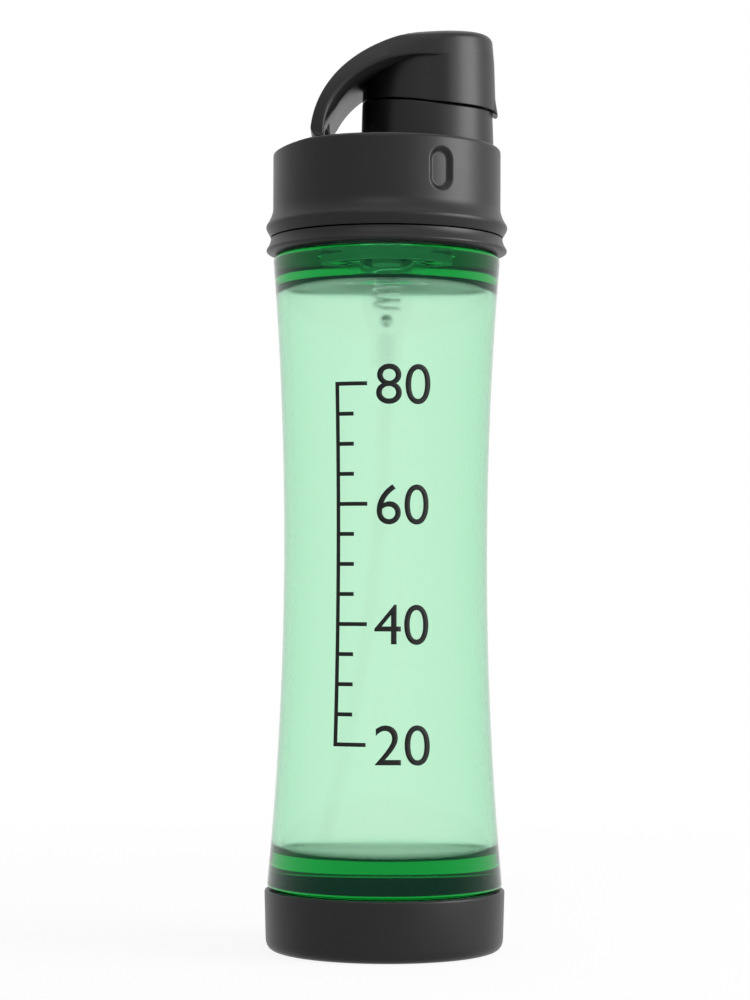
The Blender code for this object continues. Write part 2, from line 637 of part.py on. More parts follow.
def make_liner(white):
    inner = SPIGOT_RADIUS + FIT_GAP
    outer = LID_BORE - FIT_GAP
    bottom = LID_BOTTOM + FIT_GAP
    profile = [(inner, SPIGOT_TOP), (outer, SPIGOT_TOP), (outer, bottom), (inner, bottom)]
    return turned("lid_liner", profile, white)


def cover_outline(inset, steps=24):
    """Plan of the cover: the crown's circle, with straight tangents that flare out to the strap's foot."""
    radius = CROWN_RADIUS - inset
    corner = Vector((FOOT_OUTER - BARREL_RADIUS, FOOT_HALF_WIDTH - inset))
    away = corner - Vector((SPOUT_X, 0))
    tangent = math.atan2(away.y, away.x) - math.acos(radius / away.length)
    angles = spaced(-tangent, tangent, steps)
    points = [(SPOUT_X + radius * math.cos(a), radius * math.sin(a)) for a in angles]
    return points + [(corner.x, corner.y), (corner.x, -corner.y)]


def make_strap(black):
    """The side view of strap and crown, drawn out across the cover."""
    start = math.asin(HINGE_RISE / COVER_RISE)
    inner_start = math.asin(HINGE_RISE / ARCH_RISE)
    front = SPOUT_X + 2 * CROWN_RADIUS
    outer_arc = [
        (SPOUT_X - COVER_REACH * math.cos(a), DECK_TOP + COVER_RISE * math.sin(a))
        for a in spaced(start, math.pi / 2, 14)
    ]
    inner_arc = [
        (SPOUT_X - ARCH_REACH * math.cos(a), DECK_TOP + ARCH_RISE * math.sin(a))
        for a in spaced(math.pi / 2, inner_start, 14)
    ]
    foot = [
        (HINGE_X + BARREL_RADIUS * math.cos(a), HINGE_HEIGHT - BARREL_RADIUS * math.sin(a))
        for a in spaced(0, math.pi, 8)
    ]
    side = outer_arc + [(front, COVER_TOP), (front, ARCH_TOP)] + inner_arc + foot[1:-1]
    reach = FOOT_HALF_WIDTH + SKIRT_RADIUS
    rings = [[(x, y, z) for x, z in side] for y in (-reach, reach)]
    return lofted("flip_cover", rings, black)


def make_cover(black):
    cover = make_strap(black)
    lift = COVER_EDGE / 8
    rim = COVER_TOP + lift - COVER_EDGE
    rings = [[(x, y, DECK_TOP - HINGE_RISE) for x, y in cover_outline(0)]]
    for angle in spaced(0, math.pi / 2, 5):
        inset = COVER_EDGE * (1 - math.cos(angle))
        height = rim + COVER_EDGE * math.sin(angle)
        rings.append([(x, y, height) for x, y in cover_outline(inset)])
    plan = lofted("cover_plan", rings)
    join = COVER_EDGE / 5
    lean = join / SKIRT_RADIUS
    skirt_low = round_ring(SPOUT_X, SKIRT_RADIUS, seam)
    roof = ARCH_TOP + join
    skirt_high = round_ring(SPOUT_X, SKIRT_RADIUS - SKIRT_TAPER, lambda x: roof + lean * (x - SPOUT_X))
    skirt = lofted("cover_skirt", [skirt_low, skirt_high])
    hollow_low = (SPOUT_X, 0, DECK_TOP)
    hollow = rod("cover_hollow", hollow_low, (SPOUT_X, 0, CEILING), SKIRT_BORE, ROUND_SIDES)
    half = KNUCKLE_LENGTH / 2 + FIT_GAP
    notch_reach = 3 * BARREL_RADIUS
    notch_top = HINGE_HEIGHT + BARREL_RADIUS + 2 * FIT_GAP
    notch_low = (HINGE_X - notch_reach, -half, DECK_TOP - HINGE_RISE)
    notch = block("hinge_notch", notch_low, (HINGE_X + notch_reach, half, notch_top))
    front = SPOUT_X + SKIRT_RADIUS
    edge = seam(front)
    tab_back = SPOUT_X + SPOUT_RADIUS - SPOUT_TAPER + FIT_GAP
    tab_low = (tab_back, -TAB_HALF_WIDTH, edge - TAB_BELOW)
    tab = block("thumb_tab", tab_low, (front + TAB_STAND, TAB_HALF_WIDTH, edge + TAB_ABOVE))
    combine(cover, "INTERSECT", plan)
    combine(cover, "UNION", skirt, tab)
    combine(cover, "DIFFERENCE", hollow, notch, pin_bore("cover_pin_bore"))
    return cover


def pivot(name, place, *pieces):
    """An empty on a joint's axis that carries the pieces that move with it."""
    empty = bpy.data.objects.new(name, None)
    empty.location = place
    bpy.context.scene.collection.objects.link(empty)
    for piece in pieces:
        piece.parent = empty
        piece.matrix_parent_inverse = Matrix.Translation(place).inverted()
    return empty


def main():
    for old in list(bpy.data.objects):
        bpy.data.objects.remove(old)
    satin_black = finish("satin_black", (0.012, 0.012, 0.013), 0.42)
    green_glass = finish("green_glass", (0.45, 0.85, 0.56), 0.03, transmission=1.0)
    white_plastic = finish("white_plastic", (0.80, 0.80, 0.78), 0.45)
    clear_plastic = finish("clear_plastic", (0.90, 0.92, 0.91), 0.25, transmission=0.8)
    soft_rubber = finish("soft_rubber", (0.05, 0.05, 0.05), 0.80)
    grey_foam = finish("grey_foam", (0.10, 0.10, 0.10), 0.95)
    aluminium = finish("aluminium", (0.78, 0.78, 0.80), 0.30, metallic=1.0)
    steel = finish("steel", (0.60, 0.60, 0.62), 0.25, metallic=1.0)

    make_boot(satin_black)
    make_pad(grey_foam)
    make_glass(green_glass)
    make_collar(satin_black)
    make_insert(satin_black)
    make_ferrule(aluminium)
    make_gasket(soft_rubber)
    make_housing(white_plastic)
    make_turret(white_plastic)
    make_seal(soft_rubber)
    make_tube(clear_plastic)
    make_spring(steel)

    ball = make_ball(steel)
    pressed = [make_stem(white_plastic), make_piston(white_plastic)]
    pressed += [make_actuator(satin_black), make_nozzle(white_plastic)]
    lid = [make_lid(satin_black), make_liner(white_plastic), make_pin(steel)]
    cover = make_cover(satin_black)

    pivot("ball_seat", (0, 0, SEAT_BOTTOM), ball)
    pivot("press_axis", (0, 0, STEM_BOTTOM), *pressed)
    lid_axis = pivot("lid_axis", (0, 0, LID_BOTTOM), *lid)
    hinge = pivot("cover_hinge", (HINGE_X, 0, HINGE_HEIGHT), cover)
    hinge.parent = lid_axis
    hinge.matrix_parent_inverse = Matrix.Translation(lid_axis.location).inverted()


main()
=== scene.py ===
"""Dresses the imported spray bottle: its visible pieces, their finishes and a plain stage.

Everything is in metres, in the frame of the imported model: +Z up, +X towards the spout, the foot on z = 0.
The front is the spout's side, at +X. The printed side, at -Y, faces the camera.
"""

import json
import math

import bmesh
import bpy
import numpy as np
from bpy.props import FloatProperty, FloatVectorProperty, PointerProperty
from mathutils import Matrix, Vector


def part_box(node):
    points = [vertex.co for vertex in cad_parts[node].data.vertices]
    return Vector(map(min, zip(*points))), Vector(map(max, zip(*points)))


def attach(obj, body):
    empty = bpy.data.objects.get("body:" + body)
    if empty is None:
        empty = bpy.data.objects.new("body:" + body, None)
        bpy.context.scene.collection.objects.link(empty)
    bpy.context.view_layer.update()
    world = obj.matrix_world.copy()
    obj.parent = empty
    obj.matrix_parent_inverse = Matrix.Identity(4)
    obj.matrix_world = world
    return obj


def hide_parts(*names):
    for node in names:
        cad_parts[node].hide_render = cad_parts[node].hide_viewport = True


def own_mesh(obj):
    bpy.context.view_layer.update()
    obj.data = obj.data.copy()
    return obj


bl_info = {
    "name": "Flip-cover spray bottle",
    "version": (1, 0, 0),
    "blender": (4, 5, 0),
    "location": "View3D > Sidebar > Bottle",
    "description": "Builds the visible pieces of a glass spray bottle with a flip cover, on a plain stage",
    "category": "Object",
}

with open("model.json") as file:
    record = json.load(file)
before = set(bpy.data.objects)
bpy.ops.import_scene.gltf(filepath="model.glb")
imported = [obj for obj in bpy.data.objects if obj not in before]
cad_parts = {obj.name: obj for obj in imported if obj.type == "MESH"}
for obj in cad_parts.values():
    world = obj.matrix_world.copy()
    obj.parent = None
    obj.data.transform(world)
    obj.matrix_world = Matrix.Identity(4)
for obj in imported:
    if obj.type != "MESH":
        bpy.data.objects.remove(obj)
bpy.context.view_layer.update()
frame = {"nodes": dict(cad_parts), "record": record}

MM = 0.001

# Fineness of the meshes
SIDES = 160
MERGE = 0.002 * MM
SLIVER = 0.001 * MM

# Clearance between pieces, and small roundings
FIT = 0.3 * MM
SOFT = 0.3 * MM
RIM_EDGE = 0.15 * MM

# The seam falls forward and bows up at the front, and the deck falls to the rear
SLANT = math.tan(math.radians(7))
SEAM_BOW = 1.2 * MM
REAR_FALL = math.tan(math.radians(8))
REAR_LIP = 0.3 * MM

# Flared beads: the power of the flank, how much of it is kept, and the rounding of the crest
FLARE_POWER = 1.8
FLARE_SHARE = 0.8
CREST_CUT = 0.62 * MM

# Grip dimples: their angle from the front, half the finer stretch of the wall, and the share that slopes
DIMPLE_ANGLE = math.radians(62.6)
DIMPLE_SPAN = 0.14
DIMPLE_RAMP = 0.45

# Strap: steps in from its edges, the lengths in which its section and its bevel come in, and its heel's power
STRAP_STEPS = np.array((0, 0.03, 0.08, 0.15, 0.24, 0.34, 0.45, 0.7, 1.0, 1.4, 1.8, 2.3, 2.7, 3.0)) * MM
STRAP_TAPER = 9 * MM
BEVEL_CLIMB = 4 * MM
HEEL_BOXY = 0.4

# Crown: its share of the strap's draft, how far behind the axis its rise begins, and the power of that rise
CROWN_DRAFT = 0.25
CLIMB_START = 0.3
CLIMB_POWER = 1.5

# Skirt: the angles from the front at which its draw begins and its thumb tab ends, and how soft they are
DRAW_ANGLE = 1.25
DRAW_SPAN = 0.35
TAB_ANGLE = 0.26
TAB_SPAN = 0.08

# Finishes and light
WHITE = (1, 1, 1, 1)
GLASS_DENSITY = 160
ETCH = 0.15
STUDIO_LEVEL = 0.22
SHOWING = ("Camera", "Glossy", "Transmission")

# Sockets of a Mix node for colours, which go by number because several share a name
MIX_FIRST = 6
MIX_SECOND = 7
MIX_RESULT = 2

# Height of a figure as a share of the size of its type
FIGURE_SHARE = 0.7


def top_of(node):
    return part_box(node)[1][2]


def foot_of(node):
    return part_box(node)[0][2]


def radius_of(node):
    low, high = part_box(node)
    return (high[1] - low[1]) / 2


def travel_of(name):
    """How far the slide of that name travels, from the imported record."""
    joints = frame["record"]["behaviour"]["joints"]
    return next(joint["range_m"][1] for joint in joints if joint["name"] == name)


# Settings that a user would change


def length(label, words, default):
    return FloatProperty(name=label, description=words, default=default, unit="LENGTH", precision=5)


def colour(label, words, default):
    return FloatVectorProperty(name=label, description=words, default=default, subtype="COLOR", min=0, max=1)


class GlassSizes(bpy.types.PropertyGroup):
    """Sizes of the glass and of the scale printed on it."""

    heel_radius: length("Heel radius", "Radius of the glass just above the boot", 21.3 * MM)
    heel_plug: length("Heel plug", "Radius of the glass inside the boot", 19.5 * MM)
    waist_radius: length("Waist radius", "Smallest outer radius", 18.4 * MM)
    waist_height: length("Waist height", "Height of the smallest radius", 71.5 * MM)
    shoulder_radius: length("Shoulder radius", "Radius under the collar", 20.6 * MM)
    shoulder_height: length("Shoulder height", "Height of the flat shoulder", 125.5 * MM)
    seat_radius: length("Seat radius", "Radius of the sunk seat round the neck", 8.0 * MM)
    seat_depth: length("Seat depth", "Depth of the sunk seat round the neck", 1.4 * MM)
    wall: length("Wall", "Thickness of the wall", 1.7 * MM)
    base: length("Base", "Thickness of the heavy base", 14.5 * MM)
    roof: length("Roof", "Thickness of the glass under the shoulder", 5.4 * MM)
    cavity_edge: length("Cavity edge", "Rounding of the cavity's corners", 1.6 * MM)
    neck_radius: length("Neck radius", "Outer radius of the neck", 6.4 * MM)
    lip_radius: length("Lip radius", "Radius of the crimp lip", 7.3 * MM)
    lip_height: length("Lip height", "Height of the crimp lip", 3.6 * MM)
    bore: length("Bore", "Radius of the neck's bore", 4.9 * MM)
    bond: length("Bond", "How far the collar and washer bed into the glass, so that no air shows", 0.05 * MM)
    ink: length("Ink", "Thickness of the printed scale", 0.04 * MM)
    digit: length("Digit height", "Height of the printed numbers", 7.0 * MM)


class LidSizes(bpy.types.PropertyGroup):
    """Sizes of the collar, the lid, the button and the flip cover."""

    bead_radius: length("Bead radius", "Radius of the two beads", 22.0 * MM)
    groove_radius: length("Groove radius", "Radius of the groove between the beads", 21.0 * MM)
    bead_height: length("Bead height", "How far over its lower edge the lid's wall begins to flare", 5.2 * MM)
    radius: length("Lid radius", "Outer radius of the lid's wall", 20.6 * MM)
    wall: length("Lid wall", "Thickness of the lid's wall", 1.5 * MM)
    deck: length("Deck", "Height of the lid's deck", 144.7 * MM)
    deck_thickness: length("Deck thickness", "Thickness of the lid's deck", 1.6 * MM)
    slope_start: length("Slope start", "Where the deck begins to fall away to the rear", -12.6 * MM)
    dimple_height: length("Dimple height", "Height of the middle of the grip dimples", 138.7 * MM)
    dimple_width: length("Dimple width", "Width of a grip dimple", 4.9 * MM)
    dimple_length: length("Dimple length", "Length of a grip dimple", 8.0 * MM)
    dimple_depth: length("Dimple depth", "Depth of a grip dimple", 0.8 * MM)
    spout_x: length("Spout axis", "How far the spout stands forward of the bottle's axis", 7.3 * MM)
    spout_radius: length("Spout radius", "Outer radius of the spout at the deck", 12.0 * MM)
    spout_bore: length("Spout bore", "Radius of the spout's bore", 10.6 * MM)
    seam: length("Seam", "Height of the seam over the spout's axis", 151.8 * MM)
    head_radius: length("Head radius", "Radius of the button's head", 9.0 * MM)
    head_top: length("Head top", "Height of the button's rim", 156.5 * MM)
    plug_top: length("Plug top", "Height of the button's step", 148.2 * MM)
    cover_reach: length("Cover reach", "How far behind the spout's axis the outer arch reaches", 21.0 * MM)
    arch_reach: length("Arch reach", "How far behind the spout's axis the inner arch reaches", 18.6 * MM)
    arch_rise: length("Arch rise", "Rise of the inner arch over the deck", 15.1 * MM)
    crown_radius: length("Crown radius", "Radius of the cover's crown", 12.1 * MM)
    crown_edge: length("Crown edge", "Rounding of the crown's upper edge", 1.6 * MM)
    crown_rise: length("Crown rise", "How much the crown rises from the strap to its front", 1.75 * MM)
    strap_edge: length("Strap edge", "Rounding of the strap's edges", 0.45 * MM)
    strap_bevel: length("Strap bevel", "How much thinner the strap is at its edges", 0.5 * MM)
    strap_belly: length("Strap belly", "How much thicker the strap is in its middle", 0.7 * MM)
    strap_draft: length("Strap draft", "How far the strap's sides lean in", 1.2 * MM)
    foot_half: length("Foot half width", "Half the width of the strap's foot", 14.8 * MM)
    skirt_radius: length("Skirt radius", "Outer radius of the cover's skirt", 12.4 * MM)
    skirt_bore: length("Skirt bore", "Inner radius of the cover's skirt", 11.1 * MM)
    skirt_draw: length("Skirt draw", "How far the skirt is drawn in under the strap", 0.6 * MM)
    tab_height: length("Tab height", "Height of the thumb tab", 2.4 * MM)
    tab_out: length("Tab reach", "How far the thumb tab stands out", 0.4 * MM)
    tab_drop: length("Tab drop", "How far the thumb tab hangs over the seam", 0.6 * MM)
    hinge_x: length("Hinge axis", "Place of the hinge pin along X", -12.026 * MM)
    hinge_z: length("Hinge height", "Height of the hinge pin", 146.6 * MM)
    barrel: length("Barrel", "Radius of the hinge barrel", 1.568 * MM)
    knuckle: length("Knuckle", "Length of the lid's hinge knuckle", 14.0 * MM)


class BottleColours(bpy.types.PropertyGroup):
    """Colours of the finishes."""

    black: colour("Black plastic", "Boot, collar, lid, cover and button", (0.010, 0.010, 0.0105))
    glass: colour("Glass", "Tint that the glass takes from its depth", (0.18, 0.80, 0.48))
    wash: colour("Wash", "Thin green wash on the outside of the glass", (0.83, 1.0, 0.85))
    ink: colour("Ink", "Printed scale", (0.008, 0.010, 0.009))
    white: colour("White plastic", "Stem, nozzle, liner and washer", (0.80, 0.80, 0.77))
    hose: colour("Hose", "Dip tube, and the pump's housing, turret and piston", (0.97, 0.98, 0.97))
    rubber: colour("Rubber", "Seals", (0.045, 0.045, 0.047))
    foam: colour("Foam", "Pad under the glass", (0.11, 0.11, 0.115))
    aluminium: colour("Aluminium", "Crimped ferrule", (0.80, 0.80, 0.81))
    steel: colour("Steel", "Pin, spring and ball", (0.78, 0.78, 0.79))
    floor: colour("Floor", "Stage floor", (0.86, 0.86, 0.86))


def glass_sizes():
    return bpy.context.scene.bottle_glass


def lid_sizes():
    return bpy.context.scene.bottle_lid


def colours():
    return bpy.context.scene.bottle_colours


# Finishes


class Wire:
    """One output socket of a node tree. Arithmetic on it adds Math nodes."""

    def __init__(self, wiring, socket):
        self.wiring = wiring
        self.socket = socket

    def math(self, operation, first, second):
        return self.wiring.node("ShaderNodeMath", {"operation": operation}, {0: first, 1: second})

    def __add__(self, other):
        return self.math("ADD", self, other)

    def __sub__(self, other):
        return self.math("SUBTRACT", self, other)

    def __rsub__(self, other):
        return self.math("SUBTRACT", other, self)

    def __mul__(self, other):
        return self.math("MULTIPLY", self, other)

    __radd__ = __add__
    __rmul__ = __mul__


class Wiring:
    """A node tree under construction."""

    def __init__(self, tree):
        self.tree = tree

    def feed(self, socket, value):
        if isinstance(value, Wire):
            self.tree.links.new(value.socket, socket)
        else:
            socket.default_value = value

    def node(self, kind, settings=None, sockets=None, output=0):
        """Adds a node, with its settings first and then the values or links of its sockets."""
        made = self.tree.nodes.new(kind)
        for name, value in (settings or {}).items():
            setattr(made, name, value)
        for key, value in (sockets or {}).items():
            self.feed(made.inputs[key], value)
        return Wire(self, made.outputs[output])


class Finish(Wiring):
    """A material under construction, with one Principled shader."""

    def __init__(self, name):
        self.material = bpy.data.materials.new(name)
        self.material.use_nodes = True
        super().__init__(self.material.node_tree)
        self.shader = self.tree.nodes["Principled BSDF"]

    def set(self, **values):
        """Feeds the shader's sockets, whose names are written with _ for a space."""
        for name, value in values.items():
            self.feed(self.shader.inputs[name.replace("_", " ")], value)

    def send(self, name, wire):
        """Feeds a socket of the material's output."""
        self.feed(self.tree.nodes["Material Output"].inputs[name], wire)

    def place(self):
        return self.node("ShaderNodeTexCoord", output="Object")

    def noise(self, scale, detail=2.0, stretch=None):
        """Noise on the piece's own coordinates, with the scale in features per metre."""
        place = self.place()
        if stretch:
            place = self.node("ShaderNodeMapping", None, {"Vector": place, "Scale": stretch})
        return self.node("ShaderNodeTexNoise", None, {"Vector": place, "Scale": scale, "Detail": detail})

    def mix(self, factor, first, second):
        sockets = {0: factor, MIX_FIRST: (*first, 1), MIX_SECOND: (*second, 1)}
        return self.node("ShaderNodeMix", {"data_type": "RGBA"}, sockets, MIX_RESULT)

    def bump(self, height, strength, distance):
        sockets = {"Height": height, "Strength": strength, "Distance": distance}
        return self.node("ShaderNodeBump", None, sockets)


def shade(tone, factor):
    return tuple(min(channel * factor, 1) for channel in tone)


def moulded(name, base, roughness, grain=5200, depth=0.012 * MM, gloss=0.5):
    """Moulded plastic: a fine spark-eroded grain, with slow drifts in colour and gloss."""
    finish = Finish(name)
    spread = 0.10
    drift = finish.noise(90, detail=3)
    fine = finish.noise(grain, detail=2)
    finish.set(Base_Color=finish.mix(drift, shade(base, 0.88), shade(base, 1.12)))
    finish.set(Roughness=roughness - spread / 2 + drift * spread + (fine - 0.5) * 0.06)
    finish.set(Normal=finish.bump(fine, strength=0.35, distance=depth))
    finish.set(IOR=1.48, Specular_IOR_Level=gloss)
    return finish.material


def tinted_glass(name, base, wash):
    """Glass with a tint in its depth and a thin green wash outside, or a light frost where etched is 1."""
    finish = Finish(name)
    wave = finish.noise(70, detail=1, stretch=(1, 1, 0.35))
    etched = finish.node("ShaderNodeAttribute", {"attribute_name": "etched"}, output="Fac")
    finish.set(Base_Color=finish.mix(etched, wash, (1, 1, 1)), Transmission_Weight=1.0, IOR=1.48)
    finish.set(Specular_Tint=(*base, 1))
    finish.set(Roughness=0.004 + wave * 0.008 + etched * ETCH)
    finish.set(Normal=finish.bump(wave, strength=0.05, distance=0.05 * MM))
    depth = finish.node("ShaderNodeVolumeAbsorption", None, {"Color": (*base, 1), "Density": GLASS_DENSITY})
    finish.send("Volume", depth)
    return finish.material


def printed_ink(name, base):
    """Screen-printed ink, slightly uneven where the mesh of the screen was."""
    finish = Finish(name)
    screen = finish.noise(4000, detail=1)
    finish.set(Base_Color=finish.mix(screen, shade(base, 0.7), shade(base, 1.3)))
    finish.set(Roughness=0.55 + screen * 0.15, Specular_IOR_Level=0.2)
    finish.set(Normal=finish.bump(screen, strength=0.2, distance=0.01 * MM))
    return finish.material


def metal(name, base, roughness, stretch):
    """Bare metal with fine lines, drawn out along one direction by the stretch of its noise."""
    finish = Finish(name)
    lines = finish.noise(3000, detail=2, stretch=stretch)
    finish.set(Base_Color=finish.mix(lines, shade(base, 0.92), shade(base, 1.06)))
    finish.set(Roughness=roughness - 0.06 + lines * 0.12)
    finish.set(Normal=finish.bump(lines, strength=0.15, distance=0.01 * MM))
    finish.set(Metallic=1.0)
    return finish.material


def hose_plastic(name, base, film):
    """Thin see-through plastic: a faint film of its colour, with fine lines along its length."""
    finish = Finish(name)
    lines = finish.noise(2500, detail=1, stretch=(1, 1, 0.02))
    finish.set(Base_Color=finish.mix(lines, shade(base, 0.97), shade(base, 1.03)))
    finish.set(Roughness=0.35 + lines * 0.1, Alpha=film * 0.75 + lines * film * 0.5)
    finish.set(Specular_IOR_Level=0.2)
    return finish.material


def finish_named(name):
    """The finish of that name, made on its first use."""
    label = "finish_" + name
    kept = bpy.data.materials.get(label)
    if kept:
        return kept
    tone = {key: tuple(getattr(colours(), key)) for key in BottleColours.__annotations__}
    makers = {
        "black_plastic": lambda: moulded(label, tone["black"], 0.37, gloss=0.27),
        "white_plastic": lambda: moulded(label, tone["white"], 0.38, 3000),
        "green_glass": lambda: tinted_glass(label, tone["glass"], tone["wash"]),
        "ink": lambda: printed_ink(label, tone["ink"]),
        "clear_plastic": lambda: hose_plastic(label, tone["hose"], 0.02),
        "natural_plastic": lambda: hose_plastic(label, tone["hose"], 0.04),
        "rubber": lambda: moulded(label, tone["rubber"], 0.78, 2500, 0.02 * MM),
        "foam": lambda: moulded(label, tone["foam"], 0.92, 900, 0.005 * MM),
        "aluminium": lambda: metal(label, tone["aluminium"], 0.30, (1, 1, 0.05)),
        "steel": lambda: metal(label, tone["steel"], 0.24, (1, 0.05, 1)),
    }
    return makers[name]()


# Meshes


def skin(grid, close_rows=False, close_columns=True):
    """Quads over a grid of points (row, column), closed round its rows and round its columns where asked."""
    rows, columns = grid.shape[:2]
    index = np.arange(rows * columns).reshape(rows, columns)
    if close_rows:
        index = np.concatenate((index, index[:1]))
    if close_columns:
        index = np.concatenate((index, index[:, :1]), axis=1)
    corners = (index[:-1, :-1], index[:-1, 1:], index[1:, 1:], index[1:, :-1])
    return grid.reshape(-1, 3), np.stack(corners, axis=-1).reshape(-1, 4)


def sheet_of(grid):
    """Quads over a grid of points that is open in both directions."""
    return skin(grid, close_columns=False)


def closed_mesh(name, surfaces):
    """One mesh of several surfaces, with meeting points merged and faces turned outwards."""
    starts = np.cumsum([0] + [len(points) for points, _ in surfaces])
    points = np.concatenate([points for points, _ in surfaces])
    faces = sum([(faces + start).tolist() for (_, faces), start in zip(surfaces, starts)], [])
    mesh = bpy.data.meshes.new(name)
    mesh.from_pydata(points, [], faces)
    bm = bmesh.new()
    bm.from_mesh(mesh)
    bmesh.ops.remove_doubles(bm, verts=bm.verts, dist=MERGE)
    bmesh.ops.dissolve_degenerate(bm, edges=bm.edges, dist=SLIVER)
    bmesh.ops.recalc_face_normals(bm, faces=bm.faces)
    bm.to_mesh(mesh)
    bm.free()
    return mesh


def smooth(mesh, sharp):
    """Shades a mesh smooth, with an edge wherever it turns by more than so many degrees."""
    mesh.shade_smooth()
    mesh.set_sharp_from_angle(angle=math.radians(sharp))


def add_piece(name, surfaces, finish, body, replaced=(), sharp=40):
    """Adds a piece in its finish, on its body, standing for the nodes that it replaces."""
    mesh = closed_mesh(name, surfaces)
    piece = bpy.data.objects.new(name, mesh)
    bpy.context.scene.collection.objects.link(piece)
    mesh.materials.append(finish_named(finish))
    smooth(mesh, sharp)
    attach(piece, body)
    if replaced:
        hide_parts(*replaced)
    return piece


def carve(piece, surfaces, sharp=30):
    """Cuts a closed shape out of a piece and keeps the result as its mesh."""
    tool = bpy.data.objects.new("carving_tool", closed_mesh("carving_tool", surfaces))
    bpy.context.scene.collection.objects.link(tool)
    cut = piece.modifiers.new("cut", "BOOLEAN")
    cut.operation = "DIFFERENCE"
    cut.solver = "EXACT"
    cut.object = tool
    graph = bpy.context.evaluated_depsgraph_get()
    mesh = bpy.data.meshes.new_from_object(piece.evaluated_get(graph))
    piece.modifiers.remove(cut)
    piece.data = mesh
    bpy.data.objects.remove(tool)
    smooth(mesh, sharp)


# Surfaces


def circle(count=SIDES):
    """Evenly spaced angles round a circle."""
    return np.linspace(0, math.tau, count, endpoint=False)


def eased(share):
    """A share held between 0 and 1 and eased by a cubic, so that it starts and ends level."""
    share = share.clip(0, 1)
    return share**2 * (3 - 2 * share)


def between(first, last, count):
    """Evenly spaced rows from one row to another, both included."""
    first, last = np.asarray(first, float), np.asarray(last, float)
    share = np.linspace(0, 1, count)[:, None]
    return (first + share * (last - first)).tolist()


def points_along(radius, height):
    """Corners of a profile without rounding, from an array of radii and one of heights."""
    return np.stack((radius, height, 0 * height), axis=1).tolist()


def rounded(corners, steps=6):
    """A profile through corners (radius, height, cut): each corner becomes a parabola that leaves its two
    sides at the cut's distance from it."""
    corners = np.asarray(corners, float)
    share = np.linspace(0, 1, steps + 1)[:, None]
    profile = []
    for k, (radius, height, cut) in enumerate(corners):
        here = np.array((radius, height))
        if cut == 0:
            profile.append(here[None])
            continue
        before, after = corners[k - 1, :2] - here, corners[k + 1, :2] - here
        start = here + before / np.linalg.norm(before) * cut
        end = here + after / np.linalg.norm(after) * cut
        profile.append((1 - share) ** 2 * start + 2 * share * (1 - share) * here + share**2 * end)
    return np.concatenate(profile)


def flare(root, start, crest, crest_height, under, end):
    """A flared bead, downwards: the radius grows from the root by a power of the way down to a rounded crest,
    and the underside runs straight back in."""
    share = np.linspace(0, FLARE_SHARE, 9)
    radius = root + (crest - root) * share**FLARE_POWER
    height = start + (crest_height - start) * share
    corners = points_along(radius, height) + [(crest, crest_height, CREST_CUT), (under, end, 0)]
    return rounded(corners, 8)


def turned(profile, x=0.0):
    """A profile of (radius, height) turned about the upright line at x."""
    angle = circle()
    radius, height = profile[:, :1], profile[:, 1:2]
    return np.stack((x + radius * np.cos(angle), radius * np.sin(angle), height + 0 * angle), axis=-1)


def lathe(corners, closed=False, x=0.0):
    """The surface of a rounded profile turned about the upright line at x, closed on itself if asked."""
    return [skin(turned(rounded(corners), x), closed)]


def seam_rise(x, angle):
    """Height of the seam over its level at the spout's axis: it falls evenly forward, and bows up at the
    front by the squared cosine of the angle."""
    return SEAM_BOW * np.cos(angle).clip(0) ** 2 - SLANT * (x - lid_sizes().spout_x)


def ring_rows(rows, angle=None):
    """Circles given by rows of (centre x, radius, height, tilt). A tilt of 1 follows the rise of the seam."""
    if angle is None:
        angle = circle()
    centre, radius, height, tilt = np.asarray(rows, float).T[:, :, None]
    x = centre + radius * np.cos(angle)
    return np.stack((x, radius * np.sin(angle), height + tilt * seam_rise(x, angle)), axis=-1)


def press_in(grid, angle, depth):
    """Moves the points of a grid inwards by a depth, against the direction of their angle in plan."""
    grid[..., 0] -= depth * np.cos(angle)
    grid[..., 1] -= depth * np.sin(angle)


def bar(outline, half, edge):
    """An outline of (x, z) drawn out along Y. Its ends are drawn in by an edge and closed on their middle."""
    outline = np.asarray(outline)
    middle = outline.mean(axis=0)
    ends = [(0, -half), (0.5, -half), (1 - edge / np.ptp(outline[:, 0]), -half), (1, edge - half)]
    rows = ends + [(size, -place) for size, place in reversed(ends)]
    size, place = np.asarray(rows).T[:, :, None]
    flat = middle + size[..., None] * (outline - middle)
    return np.stack((flat[..., 0], place + 0 * flat[..., 0], flat[..., 1]), axis=-1)


# Glass


def heel_height():
    """Height of the glass's heel, just clear of the boot's rim."""
    return top_of("base_boot") + FIT


def glass_radius(height):
    """Outer radius of the glass: one parabola from the waist up to the shoulder, one down to the heel."""
    glass = glass_sizes()
    over_waist = height - glass.waist_height
    up = over_waist / (glass.shoulder_height - glass.waist_height)
    down = over_waist / (heel_height() - glass.waist_height)
    above = (glass.shoulder_radius - glass.waist_radius) * up**2
    below = (glass.heel_radius - glass.waist_radius) * down**2
    return glass.waist_radius + np.where(over_waist >= 0, above, below)


def cavity_corners():
    """Corners of the cavity from its floor's middle, up the wall at an even thickness, to the neck's bore."""
    glass = glass_sizes()
    edge = glass.cavity_edge
    floor = foot_of("glass_bottle") + glass.base
    roof = glass.shoulder_height - glass.roof
    clear = 1.1 * edge
    heights = np.linspace(floor + clear, roof - clear, 60)
    wall = points_along(glass_radius(heights) - glass.wall, heights)
    start = [(0, floor, 0), (wall[0][0], floor, edge)]
    end = [(wall[-1][0], roof, edge), (glass.bore, roof + glass.roof / 4, SOFT)]
    return start + wall + end


